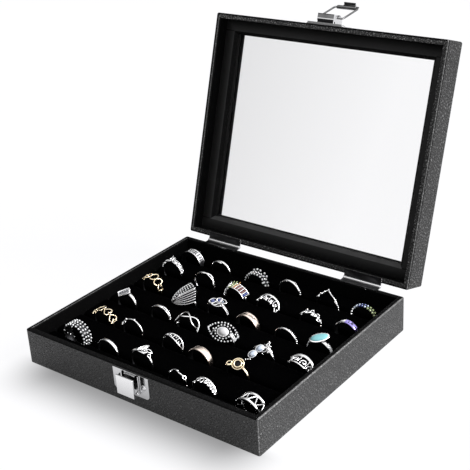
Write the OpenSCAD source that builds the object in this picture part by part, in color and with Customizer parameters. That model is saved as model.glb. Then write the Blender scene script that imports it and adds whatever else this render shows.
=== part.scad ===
// Ring display box: a leatherette case with a padded ring insert and a hinged, glazed lid.
// +X runs along the front, +Y from front to back, +Z up; the origin is the middle of the underside.
// It is drawn as it stands open. Lid pieces are drawn closed and then swung open about the hinge pin.

/* [Case] */
// Outside width of the case, along the front
case_w = 200; // [198:1:260]
// Outside depth of the case, front to back
case_d = 176; // [168:1:240]
// Height of the case from underside to rim
case_h = 27; // [26:0.5:34]
// Radius of the upright corners
corner_r = 1.5; // [1:0.1:3]
// Thickness of the wall and frame boards
board_t = 2.8; // [2.4:0.1:4]
// Thickness of the leatherette covering
cover_t = 0.6; // [0.4:0.05:0.8]
// Thickness of the velvet wall lining
lining_t = 0.6; // [0.4:0.05:0.8]
// Thickness of the floor board
floor_t = 2; // [1.5:0.1:3]
// Width of the leatherette that is turned under the case
turn_under = 8; // [5:0.5:12]

/* [Lid] */
// Height of the lid from rim to top
lid_h = 22; // [20:0.5:28]
// Angle at which the lid rests on its stop
open_angle = 107.6; // [95:0.1:115]
// Thickness of the top frame board
top_t = 3.3; // [2.5:0.1:4]
// Width of the top from the side edges to the window
window_side = 14.6; // [12:0.1:22]
// Width of the top from the front and back edges to the window
window_end = 14.9; // [12:0.1:22]
// Thickness of the glass
glass_t = 2; // [1.5:0.1:2.5]
// Depth of the inner window border from the lid's rim
border_depth = 9.5; // [8:0.1:10.5]
// Width of the bevel along the window border's inner edge
bevel = 2.8; // [1:0.1:3.5]
// Slack between the glass and the border's cover
glass_gap = 0.1; // [0.05:0.05:0.3]

/* [Insert] */
// Slack between the insert and the lined walls
insert_gap = 0.6; // [0.4:0.1:1.5]
// Thickness of the card tray under the rolls
tray_t = 0.5; // [0.4:0.1:1]
// Height of the velvet rolls
roll_h = 14; // [13:0.5:16]
// Radius of the rolls' top edges
roll_r = 3.2; // [2:0.2:5]
// Distance between neighbouring slits
slit_pitch = 27; // [25:0.5:28]
// Width of a slit between two rolls
slit_w = 0.6; // [0.4:0.1:1]

/* [Rings] */
// Finger bore of the rings
bore_d = 17.4; // [16:0.1:17.6]
// Thickness of a ring's band
band_t = 1.3; // [1:0.1:1.4]
// Height of the rings' centres above the underside
ring_z = 17; // [16:0.5:18]
// Slack round a ring in its pocket
pocket_gap = 0.4; // [0.3:0.1:0.6]
// Distance from the insert's ends to the outer columns of rings
ring_edge = 5.4; // [4:0.1:8]
// Angle between the slits and the front wall
slit_turn = 1.7; // [0:0.1:2]
// Size of the smallest ring as a share of the others
small_ring = 0.87; // [0.85:0.01:1]

/* [Hinges] */
// Length of a hinge
hinge_len = 31; // [26:1:40]
// Distance from the side of the case to a hinge
hinge_inset = 21; // [14:1:30]
// Thickness of a hinge leaf
leaf_t = 0.7; // [0.6:0.05:0.75]
// Gap between the two leaves when closed
leaf_gap = 0.1; // [0.05:0.05:0.2]
// Distance of the pin behind the back wall
pin_back = 2.7; // [2.4:0.1:3.5]
// Diameter of a hinge pin
pin_d = 1.2; // [1:0.1:1.3]
// Outside diameter of a hinge knuckle
knuckle_d = 2.7; // [2.4:0.1:3]
// Diameter of a hinge screw's shank
screw_d = 1.2; // [1:0.1:1.4]

/* [Latch] */
// Sideways place of the latch's middle
latch_x = -1.5; // [-6:0.5:6]
// Width of the two latch plates
plate_w = 30.6; // [29:0.2:36]
// Height of the two latch plates
plate_h = 16.2; // [16:0.2:17]
// Thickness of the latch's sheet metal plates
plate_t = 0.6; // [0.5:0.05:0.7]
// Gap between the rim and the catch plate
plate_drop = 1.8; // [1.6:0.1:2]
// Distance between the two rivets of a plate
rivet_pitch = 22; // [22:0.2:24]
// Width of the sprung flap
flap_w = 14.7; // [14:0.1:15]
// Height of the sprung flap
flap_h = 14; // [13.6:0.1:14.4]
// Distance from the case wall to the flap's face
flap_out = 6.4; // [6.2:0.1:7]
// Thickness of the flap's sheet
flap_t = 0.8; // [0.6:0.05:0.8]
// Diameter of the bail's wire
wire_d = 1.4; // [1.2:0.05:1.5]
// Distance between the centres of the bail's arms
bail_w = 20.2; // [19.8:0.1:20.8]
// Length of the bail from its pivot to its cross wire
bail_len = 22; // [21.5:0.1:22.2]
// Distance from the lid wall to the bail's pivot
pivot_out = 6; // [5.6:0.1:6.4]
// Distance from the lid rim to the bail's pivot
pivot_up = 10; // [9.8:0.1:10.4]
// Lean of the open bail from the wall
bail_lean = 24.5; // [18:0.5:28]
// Width of the housing on the lid
housing_w = 14; // [13:0.1:15]

/* [Hidden] */
$fn = 48;
eps = 0.01;
run_fit = 0.05;      // radial clearance of a shaft in its hole
part_gap = 0.3;      // gap between pieces that move past each other
joint_gap = 0.1;     // glue line between two boards

leather = "#2b2b2b";
velvet = "#0c0c0c";
nickel = "#d4d4d4";
black_steel = "#3a3a3a";
gold = "#d8b25a";
rose_gold = "#dba88a";
silver = "#dcdcdc";

// Case
wall = cover_t + board_t + lining_t;
room_w = case_w - 2 * wall;
room_d = case_d - 2 * wall;
board_w = case_w - 2 * cover_t;
board_d = case_d - 2 * cover_t;
floor_z = cover_t + floor_t;

// Hinge line and lid, both closed
leaf_stack = 2 * leaf_t + leaf_gap;
lid_z = case_h + leaf_stack;
lid_top = lid_z + lid_h;
pin_y = case_d / 2 + pin_back;
pin_z = case_h + leaf_stack / 2;
top_board_z = lid_top - cover_t - top_t;
glass_z = top_board_z - glass_gap - glass_t;
border_z = lid_z + border_depth;
border_t = glass_z - glass_gap - border_z;
window_w = case_w - 2 * window_side;
window_d = case_d - 2 * window_end;
glass_w = room_w - 2 * part_gap;
glass_d = room_d - 2 * part_gap;

// Hinges
knuckle_len = (hinge_len - leaf_gap) / 2;
hinge_x = case_w / 2 - hinge_inset - hinge_len / 2;
leaf_y = case_d / 2 - wall + part_gap;
screw_y = case_d / 2 - wall / 2;
screw_len = 6;
head_d = screw_d + 1.2;
screw_x = hinge_len / 2 - 4;

// Insert and the outside radius of a ring
ring_r = bore_d / 2 + band_t;
insert_w = room_w - 2 * insert_gap;
insert_d = room_d - 2 * insert_gap;
rows = 6;
columns = 6;
column_pitch = (insert_w - 2 * ring_r - 2 * ring_edge) / (columns - 1);
roll_z = floor_z + tray_t;

// Rings, rows from front to back and columns from left to right
seat = 0.5;          // how far a stone or setting is let into the band
band_w = [
  [8, 2.2, 2.4, 2.6, 2.6, 9],
  [2.2, 2.2, 2.6, 5.5, 2.2, 0],
  [3, 2.8, 3.4, 2.6, 2.2, 3],
  [3.2, 4, 3, 5.5, 2, 2.6],
  [3.4, 1.8, 3.6, 2.4, 2.2, 5],
  [6.4, 1.8, 1.8, 2, 2, 3.4]
];
// How far each ring stands from its column, as a share of the distance between columns
share = [
  [0.28, 0.22, 0.23, 0.2, -0.09, 0.09],
  [0.25, 0.15, 0.3, 0.09, 0.09, 0],
  [0.14, 0.19, -0.01, 0.03, 0.09, 0.02],
  [0.15, 0.22, 0.15, 0.01, 0.04, -0.06],
  [0.04, 0.07, 0.01, -0.1, 0.1, 0.06],
  [-0.06, -0.14, -0.05, -0.08, -0.03, -0.04]
];
// How far each ring stands higher or lower in its slit than the others
rise = [
  [2, -1.4, 1.5, -3, -3, -0.4],
  [0, 0, -0.5, -1.5, -2.7, 0],
  [1, -0.4, -0.4, 0, -3, -3],
  [1.7, -0.9, -0.7, -2.1, -3, -2.4],
  [2.5, 2, -1.7, -2.8, -3, 0],
  [-1, -1.9, -3, -0.1, -2.3, -1.9]
];

// Latch
wall_y = -case_d / 2;
face_y = wall_y - plate_t;
catch_top = case_h - plate_drop;
catch_low = catch_top - plate_h;
flap_top = catch_top - 0.7;
flap_low = flap_top - flap_h;
flap_pin_out = 2.2;
flap_pin_z = flap_low + 1.3;
flap_pin_d = 1;
flap_rear = plate_t + part_gap;
ear_t = 0.8;
spring_w = 9;
spring_t = 0.4;
ear_x = flap_w / 2 - flap_t - part_gap / 2 - ear_t / 2;
rivet_z = catch_low + plate_h / 2;
rivet_r = 1.9;
rivet_h = 0.9;
shank_r = 1;
shank_len = 3;
hasp_low = lid_z + 1.6;
hasp_rivet_z = hasp_low + plate_h / 2;
pivot_z = lid_z + pivot_up;
pivot_y = wall_y - pivot_out;
wire_r = wire_d / 2;
bend_r = 1.7;
latched_out = 3.6;
latched_z = pivot_z - sqrt(pow(bail_len, 2) - pow(pivot_out - latched_out, 2));
hook_r = wire_r + run_fit + 0.65;
hook_reach = 3;
hook_w = bail_w - wire_d - 2 * part_gap;
hook_t = 1;
tongue_w = 10;
tongue_end = 5.6;
lip = 1.8;
notch_r = 1.9;
notch_z = latched_z - hook_reach + notch_r - 0.5;
housing_out = 8.2;
housing_t = 0.8;
housing_z = lid_z + 2.4;
housing_len = 12.4;
housing_r = 5;
foot_lift = 3;

// Shared shapes

module rounded(w, d, r) {
  square([w - 2 * r, d], center = true);
  square([w, d - 2 * r], center = true);
  for (x = [-1, 1], y = [-1, 1]) translate([x * (w / 2 - r), y * (d / 2 - r)]) circle(r);
}

module slab(w, d, h, r = 0) {
  linear_extrude(h) if (r > 0) rounded(w, d, r); else square([w, d], center = true);
}

module frame(w, d, in_w, in_d, h, r = 0) {
  difference() {
    slab(w, d, h, r);
    translate([0, 0, -1]) slab(in_w, in_d, h + 2);
  }
}

// A rod along X, centred on the origin
module rod(r, len) rotate([0, 90, 0]) cylinder(r = r, h = len, center = true);

// Four boards that butt at the corners, the end boards running the full width
module wall_boards(h) {
  side_d = board_d - 2 * board_t - 2 * joint_gap;
  for (y = [-1, 1]) translate([-board_w / 2, y * (board_d - board_t) / 2 - board_t / 2, 0])
    cube([board_w, board_t, h]);
  for (x = [-1, 1]) translate([x * (board_w - board_t) / 2 - board_t / 2, -side_d / 2, 0])
    cube([board_t, side_d, h]);
}

module opened()
  translate([0, pin_y, pin_z]) rotate([-open_angle, 0, 0]) translate([0, -pin_y, -pin_z]) children();

module at_hinges() for (x = [-1, 1]) translate([x * hinge_x, 0, 0]) children();

module at_screws() at_hinges() for (x = [-1, 1]) translate([x * screw_x, screw_y, 0]) children();

module at_rivets(z) for (x = [-1, 1]) translate([latch_x + x * rivet_pitch / 2, wall_y, z])
  rotate([90, 0, 0]) children();

// Case

module shank_holes(z) at_rivets(z) translate([0, 0, -shank_len - 1])
  cylinder(r = shank_r + run_fit, h = shank_len + 2);

module case_screw_holes() at_screws() translate([0, 0, case_h - screw_len - 1])
  cylinder(d = screw_d + 2 * run_fit, h = screw_len + 2);

module case_wall_boards() color("tan") difference() {
  translate([0, 0, cover_t]) wall_boards(case_h - 2 * cover_t);
  case_screw_holes();
  shank_holes(rivet_z);
}

module case_floor_board() color("tan") translate([0, 0, cover_t])
  slab(board_w - 2 * board_t, board_d - 2 * board_t, floor_t);

module case_cover() color(leather) difference() {
  union() {
    frame(case_w, case_d, board_w, board_d, case_h, corner_r);
    translate([0, 0, case_h - cover_t]) frame(case_w, case_d, room_w, room_d, cover_t, corner_r);
    frame(case_w, case_d, case_w - 2 * turn_under, case_d - 2 * turn_under, cover_t, corner_r);
  }
  case_screw_holes();
  shank_holes(rivet_z);
}

module case_lining() color(velvet) translate([0, 0, floor_z])
  frame(room_w + 2 * lining_t, room_d + 2 * lining_t, room_w, room_d, case_h - cover_t - floor_z);

module base_sheet() color("dimgray")
  slab(case_w - 2 * turn_under - part_gap, case_d - 2 * turn_under - part_gap, cover_t);

// Insert

module insert_tray() color("black") translate([0, 0, floor_z]) slab(insert_w, insert_d, tray_t);

// One roll between two depths, with rounded top edges
// A velvet covered roll from y0 to y1 and of the given width
module roll(y0, y1, w) {
  len = y1 - y0;
  translate([-w / 2, y0, roll_z]) rotate([90, 0, 90]) linear_extrude(w) {
    square([len, roll_h - roll_r]);
    translate([roll_r, 0]) square([len - 2 * roll_r, roll_h]);
    for (y = [roll_r, len - roll_r]) translate([y, roll_h - roll_r]) circle(roll_r);
  }
}

function slit_y(row) = (row - (rows - 1) / 2) * slit_pitch;
function ring_x(row, column) = (column - (columns - 1) / 2 + share[row][column]) * column_pitch;

module velvet_rolls() color(velvet) difference() {
  for (i = [0:rows]) intersection() {
    roll(-insert_d / 2, insert_d / 2, insert_w);
    rotate([0, 0, -slit_turn]) roll(
      i == 0 ? -insert_d : slit_y(i - 1) + slit_w / 2,
      i == rows ? insert_d : slit_y(i) - slit_w / 2,
      insert_w + insert_d
    );
  }
  for (row = [0:rows - 1], column = [0:columns - 1]) if (band_w[row][column] > 0)
    stand(row, column)
      cylinder(r = ring_r + pocket_gap, h = band_w[row][column] + 2 * pocket_gap, center = true);
}

// Lid

module lid_screw_holes() at_screws() translate([0, 0, lid_z - 1])
  cylinder(d = screw_d + 2 * run_fit, h = screw_len + 2);

module lid_wall_boards() color("tan") opened() difference() {
  translate([0, 0, lid_z + cover_t]) wall_boards(top_board_z - lid_z - cover_t);
  lid_screw_holes();
  shank_holes(hasp_rivet_z);
}

module lid_top_board() color("tan") opened() translate([0, 0, top_board_z])
  frame(board_w, board_d, window_w + 2 * cover_t, window_d + 2 * cover_t, top_t);

module lid_cover() color(leather) opened() difference() {
  union() {
    translate([0, 0, lid_z]) frame(case_w, case_d, board_w, board_d, lid_h, corner_r);
    translate([0, 0, lid_z]) frame(case_w, case_d, room_w, room_d, cover_t, corner_r);
    translate([0, 0, lid_top - cover_t]) frame(case_w, case_d, window_w, window_d, cover_t, corner_r);
    translate([0, 0, top_board_z])
      frame(window_w + 2 * cover_t, window_d + 2 * cover_t, window_w, window_d, top_t + cover_t);
  }
  lid_screw_holes();
  shank_holes(hasp_rivet_z);
}

module lid_lining() color(velvet) opened() translate([0, 0, lid_z + cover_t])
  frame(room_w + 2 * lining_t, room_d + 2 * lining_t, room_w, room_d, border_z - lid_z - cover_t);

// The border behind the glass, with a bevel round its inner edge
module lid_window_border() color(velvet) opened() translate([0, 0, border_z]) {
  difference() {
    slab(room_w, room_d, border_t);
    translate([0, 0, -1]) slab(window_w, window_d, border_t + 2);
    for (y = [-1, 1]) translate([0, y * window_d / 2, 0]) rotate([45, 0, 0])
      cube([window_w, bevel * sqrt(2), bevel * sqrt(2)], center = true);
    for (x = [-1, 1]) translate([x * window_w / 2, 0, 0]) rotate([0, 45, 0])
      cube([bevel * sqrt(2), window_d, bevel * sqrt(2)], center = true);
  }
}

module lid_glass() color([0.85, 0.9, 0.92, 0.4]) opened() translate([0, 0, glass_z])
  slab(glass_w, glass_d, glass_t);

// Hinges

// One leaf and its knuckle; side -1 has its knuckle to the left
module leaf(side, z) difference() {
  union() {
    translate([-hinge_len / 2, leaf_y, z])
      cube([hinge_len, case_d / 2 - leaf_y + pin_back - knuckle_d / 2, leaf_t]);
    translate([side > 0 ? leaf_gap / 2 : -hinge_len / 2, leaf_y, z])
      cube([knuckle_len, pin_y - leaf_y, leaf_t]);
    translate([side * (knuckle_len + leaf_gap) / 2, pin_y, pin_z]) rod(knuckle_d / 2, knuckle_len);
  }
  translate([0, pin_y, pin_z]) rod(pin_d / 2 + run_fit, hinge_len + 2);
  for (x = [-1, 1]) translate([x * screw_x, screw_y, z + leaf_t / 2]) mirror([0, 0, side > 0 ? 1 : 0]) {
    cylinder(d1 = screw_d + 2 * run_fit, d2 = head_d + 2 * run_fit, h = leaf_t / 2 + eps);
    cylinder(d = screw_d + 2 * run_fit, h = leaf_t + 1, center = true);
  }
}

module case_hinge_leaves() color(black_steel) at_hinges() leaf(-1, case_h);

module lid_hinge_leaves() color(black_steel) opened() at_hinges() leaf(1, lid_z - leaf_t);

module hinge_pins() color(black_steel) at_hinges() translate([0, pin_y, pin_z])
  rod(pin_d / 2, hinge_len + 0.6);

// A countersunk screw whose head lies flush with the leaf's face
module screw() {
  translate([0, 0, -screw_len + 1]) cylinder(d = screw_d, h = screw_len - 1);
  translate([0, 0, -leaf_t / 2]) cylinder(d1 = screw_d, d2 = head_d, h = leaf_t / 2);
}

module case_hinge_screws() color(black_steel) at_screws() translate([0, 0, case_h + leaf_t]) screw();

module lid_hinge_screws() color(black_steel) opened() at_screws() translate([0, 0, lid_z - leaf_t])
  mirror([0, 0, 1]) screw();

// Latch, on the case

module latch_plate(z, square_top) color(nickel)
  translate([latch_x, wall_y, z + plate_h / 2]) rotate([90, 0, 0])
  linear_extrude(plate_t) {
    rounded(plate_w, plate_h, 3);
    translate([0, square_top * plate_h / 4]) square([plate_w, plate_h / 2], center = true);
  }

// Extrudes a drawing made looking along X: first coordinate outwards from the wall, second up
module profile_x(x, t) translate([latch_x + x - t / 2, wall_y, 0]) rotate([90, 0, 90]) linear_extrude(t)
  mirror([1, 0]) children();

module catch_plate() color(nickel) difference() {
  union() {
    latch_plate(catch_low, 1);
    for (x = [-1, 1]) profile_x(x * ear_x, ear_t) {
      translate([flap_pin_out, flap_pin_z]) circle(1.2);
      translate([plate_t - eps, flap_pin_z - 1.2]) square([flap_pin_out - plate_t, 2.4]);
    }
  }
  translate([latch_x, wall_y - flap_pin_out, flap_pin_z]) rod(flap_pin_d / 2 + run_fit, flap_w + 2);
  shank_holes(rivet_z);
}

module rivet() {
  intersection() {
    translate([0, 0, plate_t]) cylinder(r = rivet_r, h = rivet_h);
    translate([0, 0, plate_t + rivet_h - 2.6]) sphere(2.6);
  }
  translate([0, 0, -shank_len]) cylinder(r = shank_r, h = shank_len + plate_t + eps);
}

module catch_rivets() color(nickel) at_rivets(rivet_z) rivet();

module catch_flap() color(nickel) difference() {
  union() {
    translate([latch_x - flap_w / 2, wall_y - flap_out, flap_low]) cube([flap_w, flap_t, flap_h]);
    for (x = [-1, 1]) profile_x(x * (flap_w - flap_t) / 2, flap_t) {
      translate([flap_rear, flap_pin_z]) square([flap_out - flap_rear, flap_top - flap_pin_z]);
      translate([flap_pin_out, flap_low]) square([flap_out - flap_pin_out, flap_h]);
      translate([flap_pin_out, flap_pin_z]) circle(flap_pin_out - flap_rear);
    }
  }
  for (x = [-1, 1]) profile_x(x * (flap_w / 2), 3 * flap_t) {
    translate([latched_out, notch_z]) circle(notch_r);
    translate([latched_out - notch_r, notch_z]) square([2 * notch_r, flap_h]);
  }
  translate([latch_x, wall_y - flap_pin_out, flap_pin_z]) rod(flap_pin_d / 2 + run_fit, flap_w + 2);
}

module flap_pins() color(nickel) for (x = [-1, 1])
  translate([latch_x + x * (ear_x + flap_w / 2) / 2, wall_y - flap_pin_out, flap_pin_z])
    rod(flap_pin_d / 2, flap_w / 2 - ear_x + ear_t);

// A leaf spring that lies on the plate behind the flap, with its top edge bent outwards
module flap_spring() color(silver) {
  translate([latch_x - spring_w / 2, face_y - spring_t, flap_pin_z + 2])
    cube([spring_w, spring_t, flap_top - flap_pin_z - 2.4]);
  translate([latch_x - spring_w / 2, face_y - 3 * spring_t, flap_top - 2 * spring_t])
    cube([spring_w, 3 * spring_t, spring_t]);
}

// Latch, on the lid

module housing_outline() intersection() {
  union() {
    translate([plate_t, housing_z + foot_lift])
      square([housing_out - plate_t - foot_lift, housing_len - foot_lift]);
    translate([foot_lift, housing_z]) square([housing_out - foot_lift, housing_len - housing_r]);
    translate([housing_out - housing_r, housing_z + housing_len - housing_r]) circle(housing_r);
  }
  translate([plate_t - eps, housing_z]) square([housing_out, housing_len]);
}

module hasp_plate() color(nickel) opened() difference() {
  union() {
    latch_plate(hasp_low, -1);
    for (x = [-1, 1]) profile_x(x * (housing_w - housing_t) / 2, housing_t) housing_outline();
    profile_x(0, housing_w) intersection() {
      housing_outline();
      translate([housing_out - housing_t, housing_z]) square([housing_t, housing_len - housing_r]);
    }
    profile_x(0, housing_w) translate([foot_lift, housing_z]) square([housing_out - foot_lift, housing_t]);
  }
  translate([latch_x, pivot_y, pivot_z]) rod(wire_r + run_fit, housing_w + 4);
  shank_holes(hasp_rivet_z);
}

module hasp_rivets() color(nickel) opened() at_rivets(hasp_rivet_z) rivet();

// Moves what is drawn at the bail's pivot, pointing up, to its open place on the closed lid
module on_bail() opened() translate([latch_x, pivot_y, pivot_z]) rotate([bail_lean, 0, 0]) children();

// A quarter bend of wire in the plane of X and Z, turning from +Z towards +X
module bend() translate([bend_r, 0, 0]) rotate([90, 0, 0]) rotate([0, 0, 90]) rotate_extrude(angle = 90)
  translate([bend_r, 0]) circle(wire_r);

module bail_side() {
  arm = bail_len - 2 * bend_r;
  foot = bail_w / 2 - bend_r - housing_w / 2 + 1.4;
  translate([-bail_w / 2, 0, bend_r]) cylinder(r = wire_r, h = arm);
  translate([-bail_w / 2, 0, bail_len - bend_r]) bend();
  translate([-bail_w / 2, 0, bend_r]) mirror([0, 0, 1]) bend();
  translate([-bail_w / 2 + bend_r + foot / 2, 0, 0]) rod(wire_r, foot);
}

module hasp_bail() color(nickel) on_bail() {
  bail_side();
  mirror([1, 0, 0]) bail_side();
  translate([0, 0, bail_len]) rod(wire_r, bail_w - 2 * bend_r + 2 * eps);
}

module hasp_hook() color(nickel) on_bail() translate([0, 0, bail_len]) difference() {
  union() {
    rod(hook_r, bail_w - 2 * bend_r - 2 * part_gap);
    translate([-hook_w / 2, -hook_t / 2, wire_r + part_gap])
      cube([hook_w, hook_t, hook_reach - wire_r - part_gap]);
    translate([-tongue_w / 2, -hook_t / 2, hook_reach - eps])
      cube([tongue_w, hook_t, tongue_end - hook_reach]);
    translate([-tongue_w / 2, -lip - hook_t / 2, tongue_end - hook_t])
      cube([tongue_w, lip + hook_t, hook_t]);
  }
  rod(wire_r + run_fit, bail_w);
}

// Rings

// Stands a ring in its slit: its own axis along Y and its head upwards
module stand(row, column) rotate([0, 0, -slit_turn])
  translate([ring_x(row, column), slit_y(row), ring_z + rise[row][column]]) rotate([90, 0, 0])
    scale(row == 0 && column == 3 ? small_ring : 1) children();

module band(row, column, t = band_t) let (w = band_w[row][column], r = min(0.45, w / 4))
  rotate_extrude() translate([ring_r - band_t + t / 2, 0]) rounded(t, w, r);

// Children spaced along the band's top, from one angle to another
module along(count, span, lift = 0, z = 0)
  for (i = [0:count - 1]) rotate([0, 0, count == 1 ? 0 : span / 2 - i * span / (count - 1)])
    translate([0, ring_r + lift, z]) children();

// A round openwork plate that lies on the band
module open_plate(r, hole, z = 0) translate([0, ring_r - 1, z]) rotate([-90, 0, 0]) difference() {
  cylinder(r = r, h = 1.8);
  translate([0, 0, -1]) cylinder(r = hole, h = 4);
}

// A wide wall over the top of the band, through the given angle
module crest(w, span) rotate([0, 0, 90 - span / 2]) rotate_extrude(angle = span)
  translate([ring_r - 0.6, -w / 2]) square([1.4, w]);

// A round hole through the top of the band
module window(r, z = 0) translate([0, ring_r, z]) rotate([90, 0, 0]) cylinder(r = r, h = 4, center = true);

// A round stone or bead that stands out of the band where it is placed
module stone(r, h) translate([0, -seat, 0]) rotate([-90, 0, 0]) cylinder(r1 = r, r2 = 0.6 * r, h = h + seat);

module ring_pebble_band() color(silver) stand(0, 0) {
  band(0, 0, 1.5);
  for (z = [-2.5, 0, 2.5]) along(7, 120, 0, z) stone(1.15, 1);
}

module ring_plain_bands() color(silver) {
  stand(0, 1) band(0, 1);
  stand(2, 1) {
    band(2, 1);
    rotate([0, 0, 60]) rotate_extrude(angle = 60) translate([ring_r - 0.3, 0]) rounded(1, 4, 0.3);
  }
}

module ring_rose_flower() color(silver) stand(0, 2) {
  band(0, 2);
  translate([0, ring_r + 0.6, 0]) sphere(2.2);
  for (a = [0:72:359]) translate([0, ring_r, 0]) rotate([0, a, 0]) translate([2.7, 0, 0]) stone(1.6, 1);
}

module ring_twist() color(silver) stand(0, 3) {
  band(0, 3);
  for (a = [-1, 1]) along(5, 80, 0, a * 0.7) rotate([0, a * 30, 0]) translate([0, 0.1, 0])
    cube([2.4, 1.2, 0.9], center = true);
}

module ring_leaf_crown() color(silver) stand(0, 4) {
  band(0, 4);
  along(7, 110, 0) stone(1.2, 3);
}

module ring_trellis_band() color(silver) stand(0, 5) difference() {
  band(0, 5);
  for (a = [-60:20:60], z = [-2.2, 2.2]) rotate([0, 0, a + z * 4.5]) window(1.25, z);
}

module ring_gold_hearts() color(gold) stand(1, 0) {
  band(1, 0);
  for (a = [-36, 0, 36]) rotate([0, 0, a]) open_plate(2.4, 1.5);
}

module ring_bead_band() color(silver) stand(1, 1) {
  band(1, 1);
  along(7, 90, 0) stone(0.9, 0.9);
}

module ring_channel_point() color(silver) stand(1, 2) {
  band(1, 2);
  for (x = [-1, 1]) rotate([0, 0, x * 16]) translate([0, ring_r + 0.4, 0]) rotate([0, x * 18, 0])
    cube([6.4, 1.8, 2.6], center = true);
}

module ring_rose_gold_bands() color(rose_gold) {
  stand(1, 3) band(1, 3, 1.4);
  stand(3, 3) band(3, 3, 1.4);
}

module ring_gold_drop() color(gold) stand(1, 4) {
  band(1, 4);
  open_plate(3.6, 2.5);
  translate([0, ring_r, 4]) stone(1, 1.2);
}

module ring_pave_plate() color(silver) stand(2, 0) {
  band(2, 0);
  translate([0, ring_r + 0.5, 0]) cube([9, 2, 6.4], center = true);
}

module ring_crossing_bands() color(silver) stand(2, 2) {
  band(2, 2, 1.1);
  for (a = [-1, 1]) along(3, 60, 0, 0) rotate([0, a * 25, 0]) cube([4.6, 1.5, 1], center = true);
}

module ring_oval_halo() color("white") stand(2, 3) {
  band(2, 3);
  translate([0, ring_r - seat, 0]) rotate([-90, 0, 0]) {
    linear_extrude(0.14 * ring_r) scale([1.4, 1]) circle(0.5 * ring_r);
    cylinder(r = 0.4 * ring_r, h = 0.22 * ring_r);
    cylinder(r1 = 0.3 * ring_r, r2 = 0.2 * ring_r, h = 0.34 * ring_r);
  }
}

module ring_twin_stones() color("lightblue") stand(2, 4) {
  band(2, 4);
  for (x = [-1, 1]) translate([x * 2.9, ring_r - 1, 0]) rotate([-90, 0, x * -12]) {
    cylinder(r1 = 3, r2 = 2, h = 3);
    translate([-x * 3, 0, 0]) cylinder(r1 = 1.5, r2 = 0.8, h = 2.4);
  }
}

module ring_scroll_crown() color(silver) stand(2, 5) difference() {
  union() {
    band(2, 5);
    crest(5.4, 110);
  }
  for (a = [-42:21:42]) rotate([0, 0, a]) window(1.4, 0.6);
}

module ring_gold_chain() color(gold) stand(3, 0) {
  band(3, 0, 1);
  for (a = [-50:25:50]) rotate([0, 0, a]) open_plate(2.1, 1.2);
}

module ring_dome() color(silver) stand(3, 1) {
  band(3, 1);
  translate([0, ring_r - 0.6, 0]) rotate([-90, 0, 0]) {
    cylinder(r1 = 0.7 * ring_r, r2 = 0.5 * ring_r, h = 0.26 * ring_r);
    translate([0, 0, 0.26 * ring_r - eps]) cylinder(r1 = 0.48 * ring_r, r2 = 0.2 * ring_r, h = 0.18 * ring_r);
  }
}

module ring_blue_crown() color(silver) stand(3, 2) {
  band(3, 2);
  translate([0, ring_r - seat, 0]) rotate([-90, 0, 0]) {
    cylinder(r1 = 0.3 * ring_r, r2 = 0.46 * ring_r, h = 0.26 * ring_r);
    for (a = [0:60:359]) rotate([0, 0, a]) translate([0.41 * ring_r, 0, 0.1 * ring_r])
      cylinder(r = 0.06 * ring_r, h = 0.26 * ring_r);
    cylinder(r1 = 0.3 * ring_r, r2 = 0.16 * ring_r, h = 0.4 * ring_r);
  }
}

module ring_half_eternity_pair() color(silver) {
  stand(5, 3) half_eternity(5, 3);
  stand(3, 4) half_eternity(3, 4);
}

module half_eternity(row, column) {
  band(row, column, 1.1);
  along(7, 96, 0) stone(0.85, 0.5);
}

module ring_turquoise_oval() color("turquoise") stand(3, 5) {
  band(3, 5);
  translate([0, ring_r - seat, 0]) rotate([-90, 0, 0]) linear_extrude(0.22 * ring_r) {
    for (x = [-0.22, 0.22]) translate([x * ring_r, 0]) circle(0.42 * ring_r);
    square([0.44 * ring_r, 0.84 * ring_r], center = true);
  }
}

module ring_bow() color(silver) stand(4, 0) {
  band(4, 0);
  for (a = [-28, 28]) rotate([0, 0, a]) translate([0, ring_r + 0.2, 0]) cube([4.4, 1.6, 4.6], center = true);
  translate([0, ring_r + 0.4, 0]) cube([3, 2, 3], center = true);
}

module ring_wave() color(silver) stand(4, 1) {
  band(4, 1, 1.1);
  for (i = [0:5]) rotate([0, 0, 45 - 18 * i]) translate([0, ring_r, (i % 2 - 0.5) * 1.2]) stone(0.8, 0.4);
}

module ring_rainbow_stones() color("orange") stand(4, 2) {
  band(4, 2, 1.1);
  along(11, 130, 0) cube([1.8, 1.6, 3.2], center = true);
}

module ring_pearl_rail() color(silver) stand(4, 3) difference() {
  union() {
    band(4, 3, 1.1);
    crest(6.4, 100);
  }
  for (a = [-36:18:36], z = [-1.6, 1.6]) rotate([0, 0, a]) window(1.1, z);
}

module ring_leaf_spray() color(silver) stand(4, 4) {
  band(4, 4);
  for (i = [0:4]) rotate([0, 0, 40 - 20 * i]) translate([0, ring_r, (i % 2 - 0.5) * 2.2]) stone(1.6, 1.2);
}

module ring_purple_band() color("rebeccapurple") stand(4, 5) band(4, 5, 1.4);

module ring_pave_band() color(silver) stand(5, 0) {
  band(5, 0);
  for (z = [-2, 0, 2]) along(7, 110, 0, z) stone(0.9, 0.5);
}

module ring_open_band() color(silver) stand(5, 1) {
  band(5, 1, 1.1);
  along(4, 60, 0) stone(0.85, 0.5);
}

module ring_bead_cluster() color("white") stand(5, 2) {
  band(5, 2, 1.1);
  for (z = [-1.3, 1.3]) along(6, 100, 0, z) stone(1.1, 1.2);
  along(3, 40, 0) stone(0.9, 2.2);
}

module ring_tiara() color(silver) stand(5, 4) {
  band(5, 4, 1.1);
  for (x = [-1, 1]) rotate([0, 0, x * 17]) translate([0, ring_r + 0.3, 0]) rotate([0, 0, x * 20])
    cube([6, 1.6, 1.6], center = true);
  translate([0, ring_r + 0.5, 0]) stone(1.1, 2);
}

module ring_coloured_beads() color("royalblue") stand(5, 5) {
  band(5, 5, 1.1);
  for (z = [-1, 1]) along(8, 120, 0, z) stone(0.95, 0.9);
}

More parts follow.
